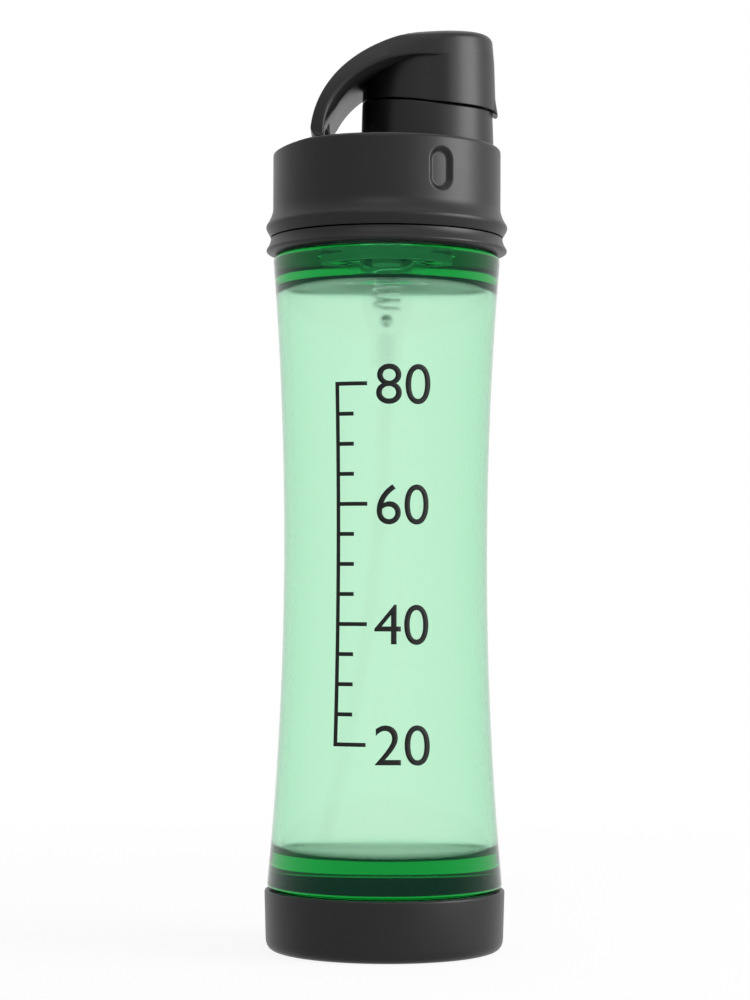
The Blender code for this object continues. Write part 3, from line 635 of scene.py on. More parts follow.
def outside_corners():
    """Corners of the glass from its lip down the neck, over the sunk seat and the shoulder, to the foot."""
    glass = glass_sizes()
    neck_top = top_of("glass_bottle")
    bottom = foot_of("glass_bottle")
    heel = heel_height()
    lip_under = neck_top - glass.lip_height
    seat = glass.shoulder_height - glass.seat_depth
    seat_edge = 0.1 * MM
    neck = [
        (glass.bore, neck_top, SOFT),
        (glass.lip_radius, neck_top, 0.5 * MM),
        (glass.lip_radius, lip_under, SOFT),
        (glass.neck_radius, lip_under - (glass.lip_radius - glass.neck_radius), SOFT),
        (glass.neck_radius, seat, 0.6 * MM),
        (glass.seat_radius, seat, seat_edge),
        (glass.seat_radius, glass.shoulder_height, seat_edge),
        (glass.shoulder_radius, glass.shoulder_height, 1.4 * MM),
    ]
    wall_top = glass.shoulder_height - 1.6 * MM
    wall_low = heel + 1.0 * MM
    heights = np.linspace(wall_top, wall_low, 80)
    foot = [
        (glass.heel_radius, heel, 0.9 * MM),
        (glass.heel_plug, heel, SOFT),
        (glass.heel_plug, bottom, 0.8 * MM),
        (0, bottom, 0),
    ]
    return neck + points_along(glass_radius(heights), heights) + foot


class BOTTLE_OT_glass(bpy.types.Operator):
    """Makes the thick glass, frosted on its cavity wall"""

    bl_idname = "bottle.glass"
    bl_label = "Glass"

    def execute(self, context):
        glass = glass_sizes()
        surfaces = lathe(cavity_corners() + outside_corners())
        body = add_piece("glass_body", surfaces, "green_glass", "bottle", ["glass_bottle"])
        points = np.empty(3 * len(body.data.vertices))
        body.data.vertices.foreach_get("co", points)
        x, y, z = points.reshape(-1, 3).T
        inside = np.hypot(x, y) < glass_radius(z) - glass.wall / 2
        inside &= z > foot_of("glass_bottle") + glass.base / 2
        inside &= z < glass.shoulder_height - glass.roof / 2
        etched = body.data.attributes.new("etched", "FLOAT", "POINT")
        etched.data.foreach_set("value", inside.astype(np.float32))
        return {"FINISHED"}


# Printed scale


def wrapped(points):
    """Bends flat points (across, up, out) round the printed side of the glass."""
    across, up, out = points.T
    angle = across / glass_sizes().waist_radius - math.pi / 2
    reach = glass_radius(up) + out
    return np.stack((reach * np.cos(angle), reach * np.sin(angle), up), axis=1)


def rim_of(grid):
    """The border of a grid, once round."""
    return np.concatenate((grid[0], grid[1:, -1], grid[-1, -2::-1], grid[-2:0:-1, 0]))


def printed_bar(left, right, low, high):
    """A thin slab of ink: an even grid sunk by the ink's thickness and one raised by it, joined round their
    rims and bent round the glass."""
    ink = glass_sizes().ink
    spacing = 1.5 * MM
    count = 3 + int((high - low) / spacing)
    across, up = np.meshgrid(np.linspace(left, right, 6), np.linspace(low, high, count))
    under, over = (np.stack((across, up, out + 0 * up), axis=-1) for out in (-ink, ink))
    rims = np.stack((rim_of(under), rim_of(over)))
    surfaces = [sheet_of(under), sheet_of(over), skin(rims)]
    return [(wrapped(points), faces) for points, faces in surfaces]


def printed_number(text, left, middle):
    """A number in the plain built-in face, cut finely enough to bend round the glass."""
    glass = glass_sizes()
    longest = 0.9 * MM
    curve = bpy.data.curves.new("number", "FONT")
    curve.body = text
    curve.size = glass.digit / FIGURE_SHARE
    curve.extrude = glass.ink
    curve.align_x = "LEFT"
    lettering = bpy.data.objects.new("number", curve)
    bpy.context.scene.collection.objects.link(lettering)
    graph = bpy.context.evaluated_depsgraph_get()
    mesh = bpy.data.meshes.new_from_object(lettering.evaluated_get(graph))
    bpy.data.objects.remove(lettering)
    bm = bmesh.new()
    bm.from_mesh(mesh)
    bpy.data.meshes.remove(mesh)
    bmesh.ops.remove_doubles(bm, verts=bm.verts, dist=SLIVER)
    bmesh.ops.triangulate(bm, faces=bm.faces)
    for _ in range(4):
        long_edges = [edge for edge in bm.edges if edge.calc_length() > longest]
        bmesh.ops.subdivide_edges(bm, edges=long_edges, cuts=1)
        bmesh.ops.triangulate(bm, faces=bm.faces)
    points = np.array([vert.co for vert in bm.verts])
    bm.verts.index_update()
    faces = np.array([[vert.index for vert in face.verts] for face in bm.faces])
    bm.free()
    points += (left, middle - glass.digit / 2, 0)
    return wrapped(points), faces


class BOTTLE_OT_scale(bpy.types.Operator):
    """Prints a plain filling scale on one side of the glass"""

    bl_idname = "bottle.scale"
    bl_label = "Printed scale"

    def execute(self, context):
        numbers = ("20", "40", "60", "80")
        ticks_per_number = 4
        steps = ticks_per_number * (len(numbers) - 1)
        lowest, highest = 38 * MM, 101 * MM
        left = -9.0 * MM
        line = 0.7 * MM
        long_tick, short_tick = 5.0 * MM, 2.6 * MM
        number_gap = 6.2 * MM
        start = left + line
        surfaces = printed_bar(left, start, lowest - line / 2, highest + line / 2)
        for k, height in enumerate(np.linspace(lowest, highest, steps + 1)):
            reach = short_tick if k % ticks_per_number else long_tick
            surfaces += printed_bar(start, start + reach, height - line / 2, height + line / 2)
        for number, height in zip(numbers, np.linspace(lowest, highest, len(numbers))):
            surfaces.append(printed_number(number, start + number_gap, height))
        add_piece("printed_scale", surfaces, "ink", "bottle", sharp=180)
        return {"FINISHED"}


# Boot and collar


class BOTTLE_OT_boot(bpy.types.Operator):
    """Makes the moulded boot under the glass: a rounded profile turned about the axis"""

    bl_idname = "bottle.boot"
    bl_label = "Boot"

    def execute(self, context):
        top = top_of("base_boot")
        radius = radius_of("base_boot")
        inside = glass_sizes().heel_plug + FIT
        floor = 1.6 * MM
        draft = 0.3 * MM
        foot_width = 8.0 * MM
        recess = 0.6 * MM
        bottom = radius - draft
        ring = bottom - foot_width
        corners = [
            (0, floor, 0),
            (inside, floor, SOFT),
            (inside, top, SOFT),
            (radius, top, 0.5 * MM),
            (bottom, 0, 2.2 * MM),
            (ring, 0, SOFT),
            (ring - recess, recess, SOFT),
            (0, recess, 0),
        ]
        add_piece("boot", lathe(corners), "black_plastic", "bottle", ["base_boot"])
        return {"FINISHED"}


def collar_foot():
    """Height at which the collar beds on the shoulder."""
    return glass_sizes().shoulder_height - glass_sizes().bond


def add_bead_ring():
    """The bead ring: a flared profile over the shoulder, turned about the axis."""
    lid = lid_sizes()
    low, high = collar_foot(), top_of("collar_ring")
    inner = radius_of("collar_insert") + FIT
    crest = low + 0.7 * MM
    swell = flare(lid.groove_radius, high, lid.bead_radius, crest, glass_sizes().shoulder_radius, low)
    profile = np.concatenate(([(inner, high)], swell, [(inner, low)]))
    add_piece("bead_ring", [skin(turned(profile), True)], "black_plastic", "bottle", ["collar_ring"])


def add_lid_sleeve():
    """The sleeve that carries the lid: a hub, a floor and a spigot in one profile, turned about the axis."""
    low = collar_foot()
    hub = radius_of("crimp_ferrule") + FIT
    hub_top = top_of("glass_bottle")
    hub_outside = hub + 1.2 * MM
    wall = 1.4 * MM
    floor = low + wall
    spigot = radius_of("collar_insert")
    spigot_top = top_of("collar_insert")
    edge = 0.4 * MM
    fillet = 0.5 * MM
    corners = [
        (hub, low, 0),
        (hub, hub_top, edge),
        (hub_outside, hub_top, edge),
        (hub_outside, floor, fillet),
        (spigot - wall, floor, fillet),
        (spigot - wall, spigot_top, edge),
        (spigot, spigot_top, edge),
        (spigot, low, 0),
    ]
    add_piece("lid_sleeve", lathe(corners, True), "black_plastic", "bottle", ["collar_insert"])


def add_seat_washer():
    """The washer in the sunk seat round the neck: a square profile turned about the axis."""
    glass = glass_sizes()
    top = collar_foot()
    bed = glass.shoulder_height - glass.seat_depth - glass.bond
    bore = glass.neck_radius + FIT
    rim = glass.seat_radius + glass.bond
    corners = [(bore, top, 0), (bore, bed, 0), (rim, bed, 0), (rim, top, 0)]
    add_piece("seat_washer", lathe(corners, True), "white_plastic", "bottle")


class BOTTLE_OT_collar(bpy.types.Operator):
    """Makes the bead ring on the shoulder, the sleeve that carries the lid and the washer in the seat"""

    bl_idname = "bottle.collar"
    bl_label = "Collar"

    def execute(self, context):
        add_bead_ring()
        add_lid_sleeve()
        add_seat_washer()
        return {"FINISHED"}


# Lid


def wall_rows():
    """Rings of the lid's outside, up its flared bead and its straight wall."""
    lid = lid_sizes()
    low = foot_of("lid_shell")
    flare_top = low + lid.bead_height
    crest = low + 1.8 * MM
    wall_low = flare_top + 0.2 * MM
    wall_top = lid.deck - 0.8 * MM
    swell = flare(lid.radius, flare_top, lid.bead_radius, crest, lid.groove_radius, low)
    bead = [(0, radius, height, 0) for radius, height in swell[::-1]]
    return bead + between((0, lid.radius, wall_low, 0), (0, lid.radius, wall_top, 0), 64)


def deck_rows():
    """Rings of the lid's rounded brim and of its deck, which shrink and move forward to the spout's foot."""
    lid = lid_sizes()
    edge = 0.8 * MM
    corner = rounded([(lid.radius, lid.deck - 2 * edge, 0), (lid.radius, lid.deck, edge), (0, lid.deck, 0)])
    brim = [(0, radius, height, 0) for radius, height in corner[2:-1]]
    start = (0, brim[-1][1], lid.deck, 0)
    return brim + between(start, (lid.spout_x, spout_foot(), lid.deck, 0), 26)[1:]


def spout_foot():
    """Radius of the spout's small fillet where it meets the deck."""
    return lid_sizes().spout_radius + 0.5 * MM


def spout_rows():
    """Rings of the spout: the fillet on the deck, the wall up to the slanted rim, and the bore back down."""
    lid = lid_sizes()
    x = lid.spout_x
    foot = spout_foot()
    top = lid.spout_radius - 0.2 * MM
    bore = lid.spout_bore
    rim = lid.seam - FIT
    edge = RIM_EDGE
    rows = [
        (x, foot - 0.15 * MM, lid.deck + 0.04 * MM, 0),
        (x, foot - 0.35 * MM, lid.deck + 0.15 * MM, 0),
        (x, lid.spout_radius, lid.deck + 0.5 * MM, 0),
    ]
    wall_start = (x, lid.spout_radius, lid.deck + 1.0 * MM, 0.1)
    rows += between(wall_start, (x, top, rim - edge, 1), 14)
    rows += [
        (x, top - 0.1 * edge, rim - 0.4 * edge, 1),
        (x, top - 0.4 * edge, rim - 0.1 * edge, 1),
        (x, top - edge, rim, 1),
        (x, bore + edge, rim, 1),
        (x, bore + 0.4 * edge, rim - 0.1 * edge, 1),
        (x, bore, rim - edge, 1),
        (x, bore, lid.deck, 0),
        (x, bore, lid.deck - lid.deck_thickness, 0),
    ]
    return rows


def hollow_rows():
    """Rings of the lid's hollow, from the spout's bore out under the deck and down the wall."""
    lid = lid_sizes()
    low = foot_of("lid_shell")
    bore = lid.radius - lid.wall
    under = lid.deck - lid.deck_thickness
    start = (lid.spout_x, lid.spout_bore + 0.2 * MM, under, 0)
    roof = between(start, (0, bore - lid.wall, under, 0), 8)
    return roof + [(0, bore, under - lid.wall, 0), (0, bore, low + 3 * MM, 0), (0, bore, low, 0)]


def press_dimples(grid):
    """Presses two grip dimples into rings of the wall: pills with a flat floor and soft sides."""
    lid = lid_sizes()
    angle = np.arctan2(grid[..., 1], grid[..., 0])
    straight = (lid.dimple_length - lid.dimple_width) / 2
    for side in (-1, 1):
        across = (angle - side * DIMPLE_ANGLE) * lid.radius
        up = (np.abs(grid[..., 2] - lid.dimple_height) - straight).clip(0)
        inside = 1 - np.hypot(across, up) / (lid.dimple_width / 2)
        press_in(grid, angle, eased(inside / DIMPLE_RAMP) * lid.dimple_depth)


def drop_rear(grid, lip=0.0):
    """Holds rings under the plane in which the deck falls to the rear, or a lip's height lower."""
    lid = lid_sizes()
    fall = lid.deck + REAR_FALL * (grid[..., 0] - lid.slope_start)
    grid[..., 2] = np.minimum(grid[..., 2], fall - lip)


def add_lid_body():
    """The lid as one closed stack of rings: up the wall, over the deck, up and down the spout, and down the
    hollow. The rings have more points where the dimples are."""
    even = np.linspace(-math.pi, math.pi, SIDES, endpoint=False)
    fine = DIMPLE_ANGLE + np.linspace(-DIMPLE_SPAN, DIMPLE_SPAN, 57)
    sides = np.unique(np.concatenate((even, fine, -fine)).round(4))
    walls = ring_rows(wall_rows(), sides)
    press_dimples(walls)
    drop_rear(walls, REAR_LIP)
    decks = ring_rows(deck_rows(), sides)
    drop_rear(decks)
    grid = np.concatenate((walls, decks, ring_rows(spout_rows() + hollow_rows(), sides)))
    add_piece("lid_body", [skin(grid, True)], "black_plastic", "lid", ["lid_shell"])


def add_hinge_knuckle():
    """The lid's knuckle: half a circle round the pin over a straight web, drawn out along the pin."""
    lid = lid_sizes()
    x, z = lid.hinge_x, lid.hinge_z
    under = lid.deck - lid.deck_thickness
    angle = np.linspace(0, math.pi, 17)
    arch = np.stack((x + lid.barrel * np.cos(angle), z + lid.barrel * np.sin(angle)), axis=1)
    web = 0.8 * lid.barrel
    feet = [(x - web, z), (x - web, under), (x + web, under), (x + web, z)]
    outline = np.concatenate((arch, feet))
    surfaces = [skin(bar(outline, lid.knuckle / 2, 0.25 * MM))]
    add_piece("hinge_knuckle", surfaces, "black_plastic", "lid")


def add_liner_ring():
    """The ring in the lid that grips the sleeve: a rounded profile turned about the axis."""
    low, top = foot_of("lid_liner"), top_of("lid_liner")
    inner = radius_of("collar_insert") + FIT
    outer = radius_of("lid_liner")
    middle = (low + top) / 2
    corners = [
        (inner, middle, 0),
        (inner, low, SOFT),
        (outer, low, SOFT),
        (outer, top, SOFT),
        (inner, top, SOFT),
        (inner, middle + SOFT, 0),
    ]
    add_piece("liner_ring", lathe(corners, True), "white_plastic", "lid", ["lid_liner"])


class BOTTLE_OT_lid(bpy.types.Operator):
    """Makes the lid with its spout, dimples, sloped rear and hinge knuckle, and its liner"""

    bl_idname = "bottle.lid"
    bl_label = "Lid"

    def execute(self, context):
        add_lid_body()
        add_hinge_knuckle()
        add_liner_ring()
        return {"FINISHED"}


# Flip cover


def strap_tangent():
    """The strap's side in plan, a straight line from the foot's corner that touches the crown's circle: where
    along X it touches, the angle there, the half width there, and the line's slope."""
    lid = lid_sizes()
    corner = np.array((lid.hinge_x - 2 * lid.barrel - lid.spout_x, lid.foot_half))
    lean = math.atan2(corner[1], corner[0]) - math.acos(lid.crown_radius / np.linalg.norm(corner))
    touch = lid.spout_x + lid.crown_radius * math.cos(lean)
    width = lid.crown_radius * math.sin(lean)
    slope = (corner[1] - width) / (corner[0] + lid.spout_x - touch)
    return touch, lean, width, slope


def strap_grid():
    """The strap and crown: columns follow the plan's edge from the foot forward, round the crown and back.
    Each column runs from the middle of the underside out to the edge, up the side and in over the top."""
    lid = lid_sizes()
    top = top_of("flip_cover")
    rise = top - lid.deck
    hinge_rise = lid.hinge_z - lid.deck
    touch, lean, width, slope = strap_tangent()
    heel = np.linspace(math.pi / 2, 0, 9)[:-1]
    outer = np.linspace(math.asin(hinge_rise / rise), math.pi / 2, 44)
    inner = np.linspace(math.asin(hinge_rise / lid.arch_rise), math.pi / 2, 44)
    flat = np.linspace(lid.spout_x, touch, 4)[1:]
    turn = np.linspace(lean, 0, 30)[1:]

    def side(sign, boxy, angle, reach, lift, level):
        """The edge in plan, the place along X that it closes on, and its height: a heel round the hinge, an
        arch that is part of an ellipse, and the level crown."""
        depth = abs(lid.spout_x - reach * math.cos(angle[0]) - lid.hinge_x)
        heel_x = lid.hinge_x + sign * depth * np.cos(heel).clip(0) ** boxy
        heel_z = lid.hinge_z - lid.barrel * np.sin(heel) ** boxy
        x = np.concatenate((heel_x, lid.spout_x - reach * np.cos(angle), flat))
        z = np.concatenate((heel_z, lid.deck + lift * np.sin(angle), level + 0 * flat))
        edge_x = np.append(x, lid.spout_x + lid.crown_radius * np.cos(turn))
        edge_y = np.append(width + slope * (x - touch), lid.crown_radius * np.sin(turn))
        middle = np.append(x, touch + 0 * turn)
        return np.stack((edge_x, edge_y)), middle, np.append(z, level + 0 * turn)

    upper, upper_middle, upper_z = side(-1, 1.0, outer, lid.cover_reach, rise, top)
    arch_top = lid.deck + lid.arch_rise
    lower, lower_middle, lower_z = side(1, HEEL_BOXY, inner, lid.arch_reach, lid.arch_rise, arch_top)
    toward = np.stack((lower[0] - upper[0], lower_z - upper_z))
    thick = np.linalg.norm(toward, axis=0)
    toward = toward / thick.clip(1e-6)
    near = STRAP_STEPS
    far = np.linspace(0, 1, 9)[1:]
    crown = lid.crown_edge
    rim = top - crown
    strap = ((lid.spout_x - upper[0]) / STRAP_TAPER).clip(0, 1)
    body = (thick / (2 * lid.barrel)).clip(0, 1) ** 2
    lifted = ((lower_z - lid.hinge_z) / BEVEL_CLIMB).clip(0, 1)
    draft = lid.strap_draft * (CROWN_DRAFT + (1 - CROWN_DRAFT) * strap) * body

    def surface(edge, middle, height, sign, above):
        """One face, in from its edge, which is a quarter circle. Above, the side leans in and the crown's
        edge is rounded. Below, the face falls from a bevel at its edge to a belly in its middle."""
        reach = np.hypot(edge[0] - middle, edge[1])
        inset = np.concatenate((near[:, None] + 0 * reach, near[-1] + far[:, None] * (reach - near[-1])))
        leaning = draft * (1 - inset / reach) if above else 0
        share = (inset + leaning) / reach
        radius = np.minimum(lid.strap_edge, thick / 3)
        sunk = radius - np.sqrt((radius**2 - (radius - inset).clip(0) ** 2).clip(0))
        if not above:
            bevel = (1 - inset / near[-1]).clip(0) ** 2
            sunk = sunk + strap * lifted * (lid.strap_bevel * bevel - lid.strap_belly * (1 - bevel))
        x = edge[0] + (middle - edge[0]) * share + sign * toward[0] * sunk
        y = edge[1] * (1 - share)
        z = height + sign * toward[1] * sunk
        if above:
            z = np.minimum(z, rim + np.sqrt((crown**2 - (crown - inset).clip(0) ** 2).clip(0)))
        return np.stack((x, y, z), axis=-1)

    over = surface(upper, upper_middle, upper_z, 1, True)
    front = lid.spout_x + lid.crown_radius
    climb = ((over[..., 0] / front + CLIMB_START) / (1 + CLIMB_START)).clip(0)
    over[..., 2] += lid.crown_rise * climb**CLIMB_POWER
    under = surface(lower, lower_middle, lower_z, -1, False)
    half = np.concatenate((under[::-1], over))
    other = half[:, -2::-1] * (1, -1, 1)
    return np.concatenate((half, other), axis=1)


def add_strap_crown():
    """The strap and crown, with a notch for the lid's knuckle cut out of its foot."""
    lid = lid_sizes()
    surfaces = [sheet_of(strap_grid())]
    strap = add_piece("strap_crown", surfaces, "black_plastic", "cover", ["flip_cover"], sharp=30)
    reach = 3 * lid.barrel
    back, front = lid.hinge_x - reach, lid.hinge_x + reach
    notch_top = lid.hinge_z + lid.barrel + FIT
    notch_low = notch_top - 4 * reach
    outline = [(back, notch_low), (front, notch_low), (front, notch_top), (back, notch_top)]
    carve(strap, [skin(bar(outline, lid.knuckle / 2 + FIT, 0))])


def skirt_rows():
    """Rings of the skirt: the ceiling over the button, the bore down to the slanted seam, and the outside up
    into the crown."""
    lid = lid_sizes()
    x = lid.spout_x
    bore, radius = lid.skirt_bore, lid.skirt_radius
    seam = lid.seam
    edge = RIM_EDGE
    ceiling = lid.head_top + 1.6 * MM
    corner = 1 * MM
    high = lid.deck + lid.arch_rise + 0.6 * MM
    cap = high + 0.2 * MM
    rows = [
        (x, 0, ceiling, 0),
        (x, bore - corner, ceiling, 0),
        (x, bore, ceiling - corner, 0),
        (x, bore, seam + edge, 1),
        (x, bore + 0.4 * edge, seam + 0.1 * edge, 1),
        (x, bore + edge, seam, 1),
        (x, radius - edge, seam, 1),
        (x, radius - 0.4 * edge, seam + 0.1 * edge, 1),
        (x, radius - 0.1 * edge, seam + 0.4 * edge, 1),
    ]
    rows += between((x, radius, seam + edge, 1), (x, lid.crown_radius, high, 0), 16)
    return rows + [(x, lid.crown_radius - 0.4 * MM, cap, 0), (x, 0, cap, 0)]


def add_cover_skirt():
    """The skirt: its rings, drawn in under the strap, with the thumb tab pulled out and down at the front."""
    lid = lid_sizes()
    skirt = ring_rows(skirt_rows())
    forward = skirt[..., 0] - lid.spout_x
    angle = np.arctan2(skirt[..., 1], forward)
    clear_of_bore = lid.skirt_bore + 0.5 * MM
    outer = np.hypot(forward, skirt[..., 1]) > clear_of_bore
    press_in(skirt, angle, eased((np.abs(angle) - DRAW_ANGLE) / DRAW_SPAN) * lid.skirt_draw * outer)
    over_seam = skirt[..., 2] - lid.seam - seam_rise(skirt[..., 0], angle)
    tab = eased((TAB_ANGLE - np.abs(angle)) / TAB_SPAN) * outer * (1 - over_seam / lid.tab_height).clip(0, 1)
    skirt[..., 0] += lid.tab_out * tab
    skirt[..., 2] -= lid.tab_drop * tab
    add_piece("cover_skirt", [skin(skirt)], "black_plastic", "cover")


class BOTTLE_OT_cover(bpy.types.Operator):
    """Makes the flip cover: strap and crown in one, the skirt and the thumb tab"""

    bl_idname = "bottle.cover"
    bl_label = "Flip cover"

    def execute(self, context):
        add_strap_crown()
        add_cover_skirt()
        return {"FINISHED"}


# Button and pump


def along_nozzle(profile):
    """A profile of (radius, place) turned about the nozzle's axis, which lies along X."""
    low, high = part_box("nozzle_insert")
    middle = (low[2] + high[2]) / 2
    angle = circle(48)
    radius, place = profile[:, :1], profile[:, 1:2]
    return np.stack((place + 0 * angle, radius * np.cos(angle), middle + radius * np.sin(angle)), axis=-1)


def add_spray_button():
    """The button: a dished head over a hollow plug, turned about the spout's axis, with the nozzle's hole."""
    lid = lid_sizes()
    low = foot_of("actuator")
    plug = lid.spout_bore - FIT
    plug_inside = plug - 1.4 * MM
    roof = lid.plug_top - 2.2 * MM
    rim = lid.head_radius - 1.6 * MM
    dish_depth = 0.6 * MM
    fillet = 0.5 * MM
    share = np.linspace(0, 1, 12)
    dish = points_along(rim * share, lid.head_top - dish_depth * (1 - share**2))
    corners = dish + [
        (lid.head_radius, lid.head_top, 0.7 * MM),
        (lid.head_radius, lid.plug_top, 0.2 * MM),
        (plug, lid.plug_top, fillet),
        (plug, low, SOFT),
        (plug_inside, low, SOFT),
        (plug_inside, roof, fillet),
        (0, roof, 0),
    ]
    surfaces = lathe(corners, x=lid.spout_x)
    button = add_piece("spray_button", surfaces, "black_plastic", "pump_head", ["actuator"])
    nozzle_low, nozzle_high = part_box("nozzle_insert")
    back, front = nozzle_low[0] - FIT, nozzle_high[0] + 2 * MM
    hole = radius_of("nozzle_insert") + FIT
    carve(button, [skin(along_nozzle(np.array([(0, back), (hole, back), (hole, front), (0, front)])))])


def add_nozzle_plug():
    """The nozzle: a short plug with a fine hole that opens in a cone, turned about its axis."""
    nozzle_low, nozzle_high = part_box("nozzle_insert")
    back, front = nozzle_low[0], nozzle_high[0]
    radius = radius_of("nozzle_insert")
    hole = 0.3 * MM
    cone = 0.7 * MM
    edge = 0.1 * MM
    corners = [
        (hole, back, 0),
        (radius, back, edge),
        (radius, front, 2 * edge),
        (cone, front, edge),
        (hole, front - cone, edge),
        (hole, back + edge, 0),
    ]
    surfaces = [skin(along_nozzle(rounded(corners)), True)]
    add_piece("nozzle_plug", surfaces, "white_plastic", "pump_head", ["nozzle_insert"])


class BOTTLE_OT_button(bpy.types.Operator):
    """Makes the spray button and its nozzle"""

    bl_idname = "bottle.button"
    bl_label = "Spray button"

    def execute(self, context):
        add_spray_button()
        add_nozzle_plug()
        return {"FINISHED"}


def add_ferrule_shell():
    """The crimped ferrule: a thin sheet's profile over the lip and in under it, turned about the axis."""
    glass = glass_sizes()
    low, high = foot_of("crimp_ferrule"), top_of("crimp_ferrule")
    radius = radius_of("crimp_ferrule")
    sheet = 0.5 * MM
    stem_radius = 1.7 * MM
    edge = 0.1 * MM
    hole = stem_radius + FIT + sheet
    shoulder = top_of("glass_bottle") - glass.lip_height - FIT
    crimp = glass.neck_radius + FIT
    corners = [
        (hole, high - sheet, 0),
        (hole, high, 0.2 * MM),
        (radius, high, 0.9 * MM),
        (radius, shoulder, 0.5 * MM),
        (crimp + sheet, low, edge),
        (crimp, low, edge),
        (crimp, low + sheet, edge),
        (radius - sheet, shoulder, 0.2 * MM),
        (radius - sheet, high - sheet, 0.4 * MM),
        (hole + edge, high - sheet, 0),
    ]
    add_piece("ferrule_shell", lathe(corners, True), "aluminium", "bottle", ["crimp_ferrule"])


def add_spring_coil():
    """The return spring: a small circle carried along a helix about the axis, closed at both ends."""
    low, high = foot_of("return_spring"), top_of("return_spring")
    wire = 0.3 * MM
    turns = 5
    coil = radius_of("return_spring") - wire
    share = np.linspace(0, 1, 24 * turns + 1)[:, None]
    angle = share * turns * math.tau
    about = circle(12)
    out = coil + wire * np.cos(about)
    rise = low + wire + share * (high - low - 2 * wire)
    coils = np.stack((out * np.cos(angle), out * np.sin(angle), rise + wire * np.sin(about)), axis=-1)
    ends = [coils[k].mean(axis=0) + 0 * coils[k] for k in (0, -1)]
    grid = np.concatenate((ends[:1], coils, ends[1:]))
    spring = add_piece("spring_coil", [skin(grid)], "steel", "bottle", ["return_spring"])
    keep = 1 - travel_of("spray_press") / (high - low)
    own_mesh(spring)


class BOTTLE_OT_pump(bpy.types.Operator):
    """Makes the ferrule and the return spring, and finishes the hidden pieces that stay as packed"""

    bl_idname = "bottle.pump"
    bl_label = "Pump"

    def execute(self, context):
        add_ferrule_shell()
        add_spring_coil()
        finishes = {
            "natural_plastic": ("pump_housing", "pump_turret", "pump_piston"),
            "white_plastic": ("pump_stem",),
            "clear_plastic": ("dip_tube",),
            "rubber": ("neck_gasket", "stem_seal"),
            "foam": ("base_pad",),
            "steel": ("inlet_ball", "hinge_pin"),
        }
        for finish, nodes in finishes.items():
            for node in nodes:
                for holder in frame["nodes"][node].material_slots:
                    holder.material = finish_named(finish)
        return {"FINISHED"}


# Stage


def showing_rays(wiring):
    """1 on the rays that show the background: straight from the camera, off gloss and through glass."""
    rays = [wiring.node("ShaderNodeLightPath", output=f"Is {kind} Ray") for kind in SHOWING]
    straight, mirrored, through = rays
    return straight.math("MAXIMUM", straight.math("MAXIMUM", straight, mirrored), through)


def add_floor(scene):
    """A matt floor that keeps the shadow, and shows white away from the bottle and a little less near it."""
    half = 6.0
    corners = half * np.array([[(-1, -1, 0), (1, -1, 0)], [(-1, 1, 0), (1, 1, 0)]], float)
    mesh = closed_mesh("floor", [sheet_of(corners)])
    floor = bpy.data.objects.new("floor", mesh)
    scene.collection.objects.link(floor)
    finish = Finish("finish_floor")
    finish.set(Base_Color=(*colours().floor, 1), Roughness=0.9)
    glow = finish.node("ShaderNodeEmission", None, {"Color": WHITE, "Strength": 1.0})
    plain = Wire(finish, finish.shader.outputs[0])
    away = finish.node("ShaderNodeVectorMath", {"operation": "LENGTH"}, {0: finish.place()}, "Value")
    fade = {"Value": away, "From Min": 0.03, "From Max": 0.30, "To Min": 0.90, "To Max": 1.0}
    clear = finish.node("ShaderNodeMapRange", None, fade)
    both = finish.node("ShaderNodeMixShader", None, {0: showing_rays(finish) * clear, 1: plain, 2: glow})
    finish.send("Surface", both)
    mesh.materials.append(finish.material)


def set_surroundings(scene):
    """A dim white studio, which is full white on the rays that show it."""
    world = bpy.data.worlds.new("studio")
    world.use_nodes = True
    scene.world = world
    sky = Wiring(world.node_tree)
    background = world.node_tree.nodes["Background"]
    sky.feed(background.inputs["Color"], WHITE)
    sky.feed(background.inputs["Strength"], STUDIO_LEVEL + showing_rays(sky) * (1 - STUDIO_LEVEL))


def soft_lamp(scene, name, place, aim, size, power):
    """A rectangular soft light at one place, turned towards another."""
    lamp = bpy.data.lights.new(name, "AREA")
    lamp.shape = "RECTANGLE"
    lamp.size, lamp.size_y = size
    lamp.energy = power
    holder = bpy.data.objects.new(name, lamp)
    scene.collection.objects.link(holder)
    towards = np.asarray(aim, float) - np.asarray(place, float)
    flat = math.hypot(towards[0], towards[1])
    holder.location = place
    holder.rotation_euler = (math.atan2(flat, -towards[2]), 0, math.atan2(-towards[0], towards[1]))
    return holder


def add_lamps(scene):
    """Two lamps on the spout's side, which pass by the glass, one over the camera and one on top."""
    key = soft_lamp(scene, "key", (0.46, -0.14, 0.23), (0, 0, 0.12), (0.30, 0.32), 2.4)
    wide = soft_lamp(scene, "wide", (0.42, -0.20, 0.20), (0, 0, 0.12), (0.70, 0.40), 1.0)
    soft_lamp(scene, "over_camera", (-0.05, -0.50, 0.62), (0, 0, 0.15), (0.50, 0.25), 0.7)
    soft_lamp(scene, "top", (0.0, 0.10, 0.65), (0, 0, 0.10), (0.50, 0.50), 1.2)
    passed_by = bpy.data.collections.new("passed_by_side_lamps")
    passed_by.objects.link(bpy.data.objects["glass_body"])
    passed_by.collection_objects[0].light_linking.link_state = "EXCLUDE"
    for lamp in (key, wide):
        lamp.light_linking.receiver_collection = passed_by


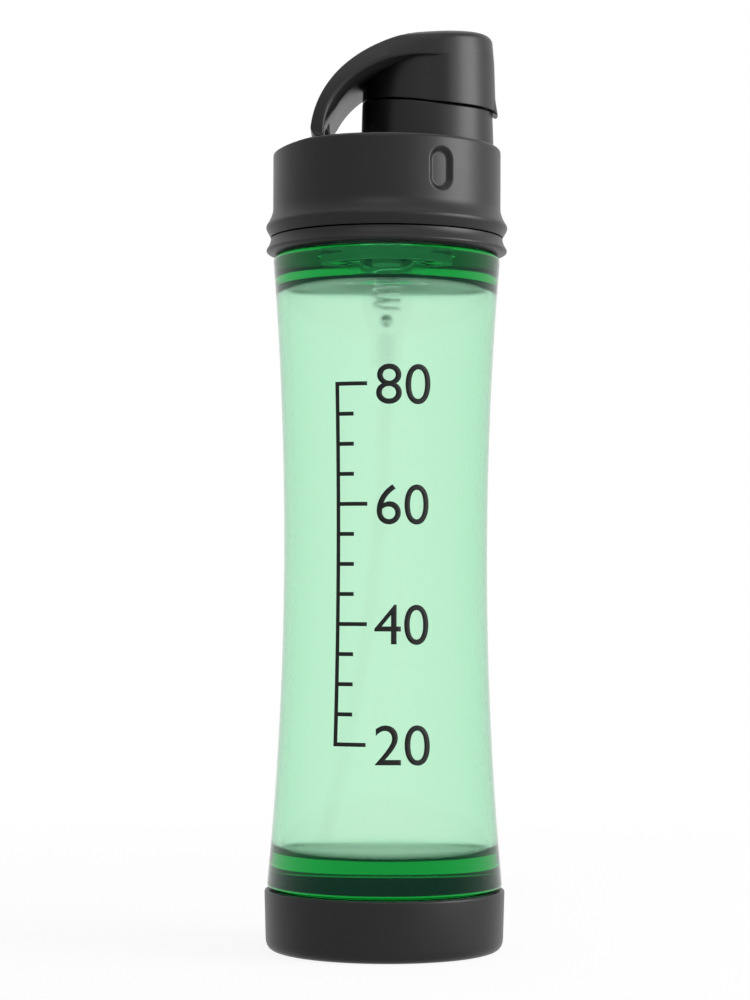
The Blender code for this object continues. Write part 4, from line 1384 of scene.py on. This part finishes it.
def add_camera(scene):
    """A long lens a little under the bottle's middle, shifted up to frame it."""
    camera = bpy.data.objects.new("camera", bpy.data.cameras.new("camera"))
    camera.data.lens = 97.2
    camera.data.clip_start = 0.01
    camera.data.shift_y = 0.0625
    camera.location = (-1.9 * MM, -0.489, 0.0645)
    camera.rotation_euler = (math.radians(90.64), math.radians(-0.2), 0)
    scene.collection.objects.link(camera)
    scene.camera = camera


class BOTTLE_OT_stage(bpy.types.Operator):
    """Sets the pale floor, the soft lights, the white surroundings and the camera"""

    bl_idname = "bottle.stage"
    bl_label = "Stage"

    def execute(self, context):
        scene = context.scene
        scene.view_settings.view_transform = "Standard"
        add_floor(scene)
        set_surroundings(scene)
        add_lamps(scene)
        add_camera(scene)
        return {"FINISHED"}


OPERATORS = (
    BOTTLE_OT_glass,
    BOTTLE_OT_scale,
    BOTTLE_OT_boot,
    BOTTLE_OT_collar,
    BOTTLE_OT_lid,
    BOTTLE_OT_cover,
    BOTTLE_OT_button,
    BOTTLE_OT_pump,
    BOTTLE_OT_stage,
)


class BOTTLE_PT_panel(bpy.types.Panel):
    """Lists the pieces in the sidebar"""

    bl_label = "Spray bottle"
    bl_space_type = "VIEW_3D"
    bl_region_type = "UI"
    bl_category = "Bottle"

    def draw(self, context):
        for operator in OPERATORS:
            self.layout.operator(operator.bl_idname)


GROUPS = {"bottle_glass": GlassSizes, "bottle_lid": LidSizes, "bottle_colours": BottleColours}


def register():
    for group in GROUPS.values():
        bpy.utils.register_class(group)
    for name, group in GROUPS.items():
        setattr(bpy.types.Scene, name, PointerProperty(type=group))
    for operator in OPERATORS:
        bpy.utils.register_class(operator)
    bpy.utils.register_class(BOTTLE_PT_panel)


def unregister():
    bpy.utils.unregister_class(BOTTLE_PT_panel)
    for operator in reversed(OPERATORS):
        bpy.utils.unregister_class(operator)
    for name in GROUPS:
        delattr(bpy.types.Scene, name)
    for group in reversed(GROUPS.values()):
        bpy.utils.unregister_class(group)


def main():
    register()
    bpy.ops.bottle.glass()
    bpy.ops.bottle.scale()
    bpy.ops.bottle.boot()
    bpy.ops.bottle.collar()
    bpy.ops.bottle.lid()
    bpy.ops.bottle.cover()
    bpy.ops.bottle.button()
    bpy.ops.bottle.pump()
    bpy.ops.bottle.stage()


if __name__ == "__main__":
    main()
